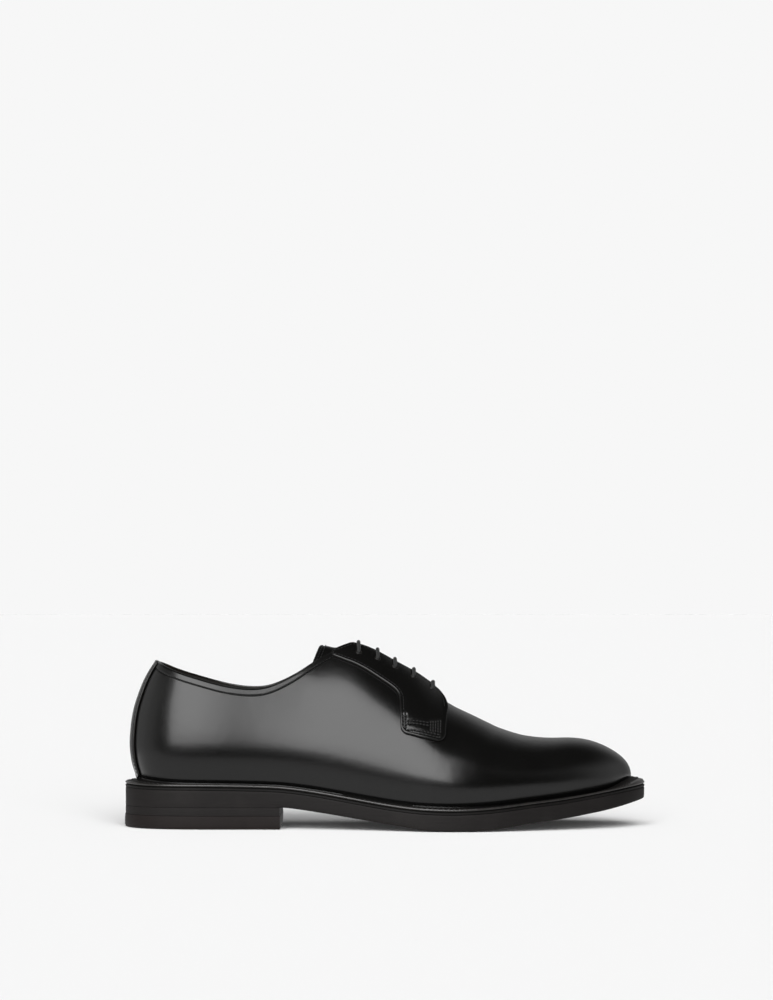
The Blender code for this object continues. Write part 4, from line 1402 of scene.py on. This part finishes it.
def build_heel():
    stack = (
        # inset, cut of the corner, z
        (2.0, 0, LIFT + 0.05), (0.24, 0, LIFT + 0.05), (0.18, 0, LIFT + 0.1), (0.16, 0, LIFT + 0.25),
        (0.16, 0, 9.8), (0.16, 0, HEEL_TOP + 0.1), (0.17, 0, HEEL_TOP + 0.18), (0.22, 0, HEEL_TOP + 0.24),
        (2.0, 0, HEEL_TOP + 0.24),
    )
    proud = -0.6 * LIFT_PROUD
    lift = (
        (2.0, 9.0, 0.0), (proud + 0.9, 8.2, 0.0), (proud + 0.35, 7.8, 0.3), (proud + 0.1, 6.6, 1.0),
        (proud + 0.02, 4.6, 2.6), (proud, 2.2, 4.2), (proud + 0.05, 0.6, 5.2), (proud + 0.12, 0.2, 6.4),
        (proud + 0.2, 0, LIFT - 0.12), (proud + 0.36, 0, LIFT), (2.0, 0, LIFT),
    )
    for name, levels, finish, slot, node, low, high in (
            ("heel_stack_leather", stack, SOLE_FINISH, "sole_edge", "heel_stack", LIFT + 0.05,
             HEEL_TOP + 0.2),
            ("top_lift_rubber", lift, RUBBER, "heel_rubber", "top_lift", 0.0, LIFT),
    ):
        ring_piece(name, np.array([heel_loop(*level) for level in levels]), [finish], slot, node,
                   cap_low=lambda x: np.full(len(x), low), cap_high=lambda x: np.full(len(x), high))


def build_insole():
    pick = np.linspace(0, len(EDGE), 420, endpoint=False).astype(int)
    edge, inward = EDGE[pick], INWARD[pick]
    toe_share = np.clip((edge[:, 0] - 90.0) / 60.0, 0, 1)
    inset = SEAM_INSET[pick] + 2.5 + 4.5 * toe_share
    low = rim(edge[:, 0]) - WELT + 0.3
    profile = ((0.6, 0.0, 0.0), (0.0, 0.0, 0.4), (0.0, 1.0, -0.5), (0.25, 1.0, -0.1), (0.8, 1.0, 0.05),
               (1.6, 1.0, -0.05), (3.0, 1.0, -0.2))
    rings = []
    for extra, share, lift in profile:
        flat = edge + inward * (inset + extra)[:, None]
        high = seam(flat[:, 0]) + INSOLE_ABOVE
        rings.append(np.column_stack([flat, low + (high - low) * share + lift]))
    ring_piece("insole_lining", np.array(rings), [LINING], "insole_leather", "insole",
               cap_low=lambda x: rim(x) - WELT + 0.3, cap_high=lambda x: seam(x) + INSOLE_ABOVE - 0.2)


# Camera, floor and light.

PHOTO = (773, 1000)
FOCAL_PX = 3436.0         # focal length in photo pixels
CAMERA_AT = (0.58, -2000.0, 140.0)
HORIZON_PX = 584.3
BACKGROUND = 0.93         # linear tone of the photo's ground
ROOM_LIGHT = 0.12         # how bright the room is for soft light, apart from the lamps
FLOOR_TONE = 0.8
FLOOR_GLOW = 0.02
SOFTBOX_AT = (-0.677, -1.729, 1.178)       # metres
SOFTBOX_TARGET = (-0.007, -0.019, 0.018)
SOFTBOX_SIZE = (1.75, 2.83)
SOFTBOX_POWER = 92.0
FLOOR_LIGHTS = (
    # name, direction it comes from, spread in degrees, strength
    ("floor_light_low", (0.0, -0.90, 0.43), 50.0, 4.5),
    ("floor_light_high", (0.0, -0.45, 0.89), 60.0, 1.42),
)
SHOE_FILL = ("shoe_fill", (0.1, 0.2, 0.97), 60.0, 1.2)     # soft light from above into the shoe


def add_camera():
    data = bpy.data.cameras.new("camera")
    data.sensor_fit = "HORIZONTAL"
    data.sensor_width = 36.0
    data.lens = FOCAL_PX / PHOTO[0] * data.sensor_width
    data.clip_end = 60.0
    camera = bpy.data.objects.new("camera", data)
    camera.location = Vector(CAMERA_AT) * MM
    up = math.atan((HORIZON_PX - PHOTO[1] / 2) / FOCAL_PX)
    camera.rotation_euler = (math.pi / 2 + up, 0.0, 0.0)
    bpy.context.collection.objects.link(camera)
    bpy.context.scene.camera = camera


def add_light(data, source, strength):
    """Links a light that shines from the direction of source."""
    data.energy = strength
    light = bpy.data.objects.new(data.name, data)
    light.rotation_euler = Vector(source).to_track_quat("Z", "Y").to_euler()
    bpy.context.collection.objects.link(light)
    return light


def add_softbox():
    """The large soft light in front, whose mirror image is the highlight on the quarter."""
    data = bpy.data.lights.new("front_softbox", "AREA")
    data.shape = "RECTANGLE"
    data.size, data.size_y = SOFTBOX_SIZE
    light = add_light(data, Vector(SOFTBOX_AT) - Vector(SOFTBOX_TARGET), SOFTBOX_POWER)
    light.location = SOFTBOX_AT
    light.visible_camera = False
    return light


def stage_sheet(name, low, high, z, colour, glow):
    mesh = bpy.data.meshes.new(name)
    corners = [(low[0], low[1], z), (high[0], low[1], z), (high[0], high[1], z), (low[0], high[1], z)]
    mesh.from_pydata(corners, [], [(0, 1, 2, 3)])
    sheet = bpy.data.objects.new(name, mesh)
    bpy.context.collection.objects.link(sheet)
    finish = Finish(name)
    finish.set(base_color=(colour, colour, colour), roughness=0.9, specular_ior_level=0.0,
               emission_color=(1.0, 1.0, 1.0, 1.0), emission_strength=glow)
    mesh.materials.append(finish.material)
    return sheet


def add_floor():
    """A pale floor, and under the shoe a glowing sheet, seen only in reflections, that the leather mirrors in
    place of the lit floor.
    """
    floor = stage_sheet("floor", (-14.0, -14.0), (14.0, 14.0), -0.0002, FLOOR_TONE, FLOOR_GLOW)
    floor.visible_glossy = False
    # The sheet is black and glows: a stand-in for the lit floor, seen only in the leather's reflections.
    sheet = stage_sheet("glowing_reflection_sheet", (-0.40, -0.165), (0.40, 0.25), -0.0004, 0.0, 0.85)
    sheet.visible_camera = False
    sheet.visible_diffuse = False
    sheet.visible_shadow = False
    return floor


def add_world():
    """A room, dark in front and overhead and pale at the sides and behind, seen only in reflections."""
    world = bpy.data.worlds.new("studio")
    world.use_nodes = True
    sheet = Sheet(world.node_tree)
    _, along, up = sheet.axes(sheet.node("ShaderNodeTexCoord", {}, {}, "Generated"))
    value = along.ramp(-0.80, -0.25, 0.01, 0.66) * along.ramp(0.10, 0.70, 1.0, 0.48)
    value = value * up.ramp(0.30, 0.85, 1.0, 0.04)
    for ray, strength in (("Is Diffuse Ray", ROOM_LIGHT), ("Is Camera Ray", BACKGROUND)):
        share = sheet.node("ShaderNodeLightPath", {}, {}, ray)
        value = sheet.node("ShaderNodeMix", {"data_type": "FLOAT"},
                           {"Factor": share, "A": value, "B": strength})
    background = world.node_tree.nodes["Background"]
    sheet.link(background.inputs["Strength"], value)
    sheet.link(background.inputs["Color"], (1.0, 1.0, 1.0, 1.0))
    bpy.context.scene.world = world


def aim_only(light, thing, state):
    """The light reaches only this thing (INCLUDE) or all but it (EXCLUDE)."""
    listed = bpy.data.collections.new(f"{light.name}_reach")
    light.light_linking.receiver_collection = listed
    listed.objects.link(thing)
    listed.collection_objects[0].light_linking.link_state = state


def add_sun(name, source, spread, strength):
    data = bpy.data.lights.new(name, "SUN")
    data.angle = math.radians(spread)
    light = add_light(data, source, strength)
    light.visible_glossy = False
    return light


def add_lights(floor):
    aim_only(add_softbox(), floor, "EXCLUDE")
    aim_only(add_sun(*SHOE_FILL), floor, "EXCLUDE")
    for row in FLOOR_LIGHTS:
        aim_only(add_sun(*row), floor, "INCLUDE")


def main():
    add_camera()
    add_world()
    add_lights(add_floor())
    bpy.context.scene.view_settings.view_transform = "Standard"
    v = build_upper()
    bases = [build_facing(side) for side in (-1, 1)]
    for side, base in zip((-1, 1), bases):
        build_eyelets(side, base)
    build_tongue()
    build_back_strip()
    build_collar_stitches(v)
    build_lace(bases)
    build_welt()
    build_outsole()
    build_heel()
    build_insole()


main()
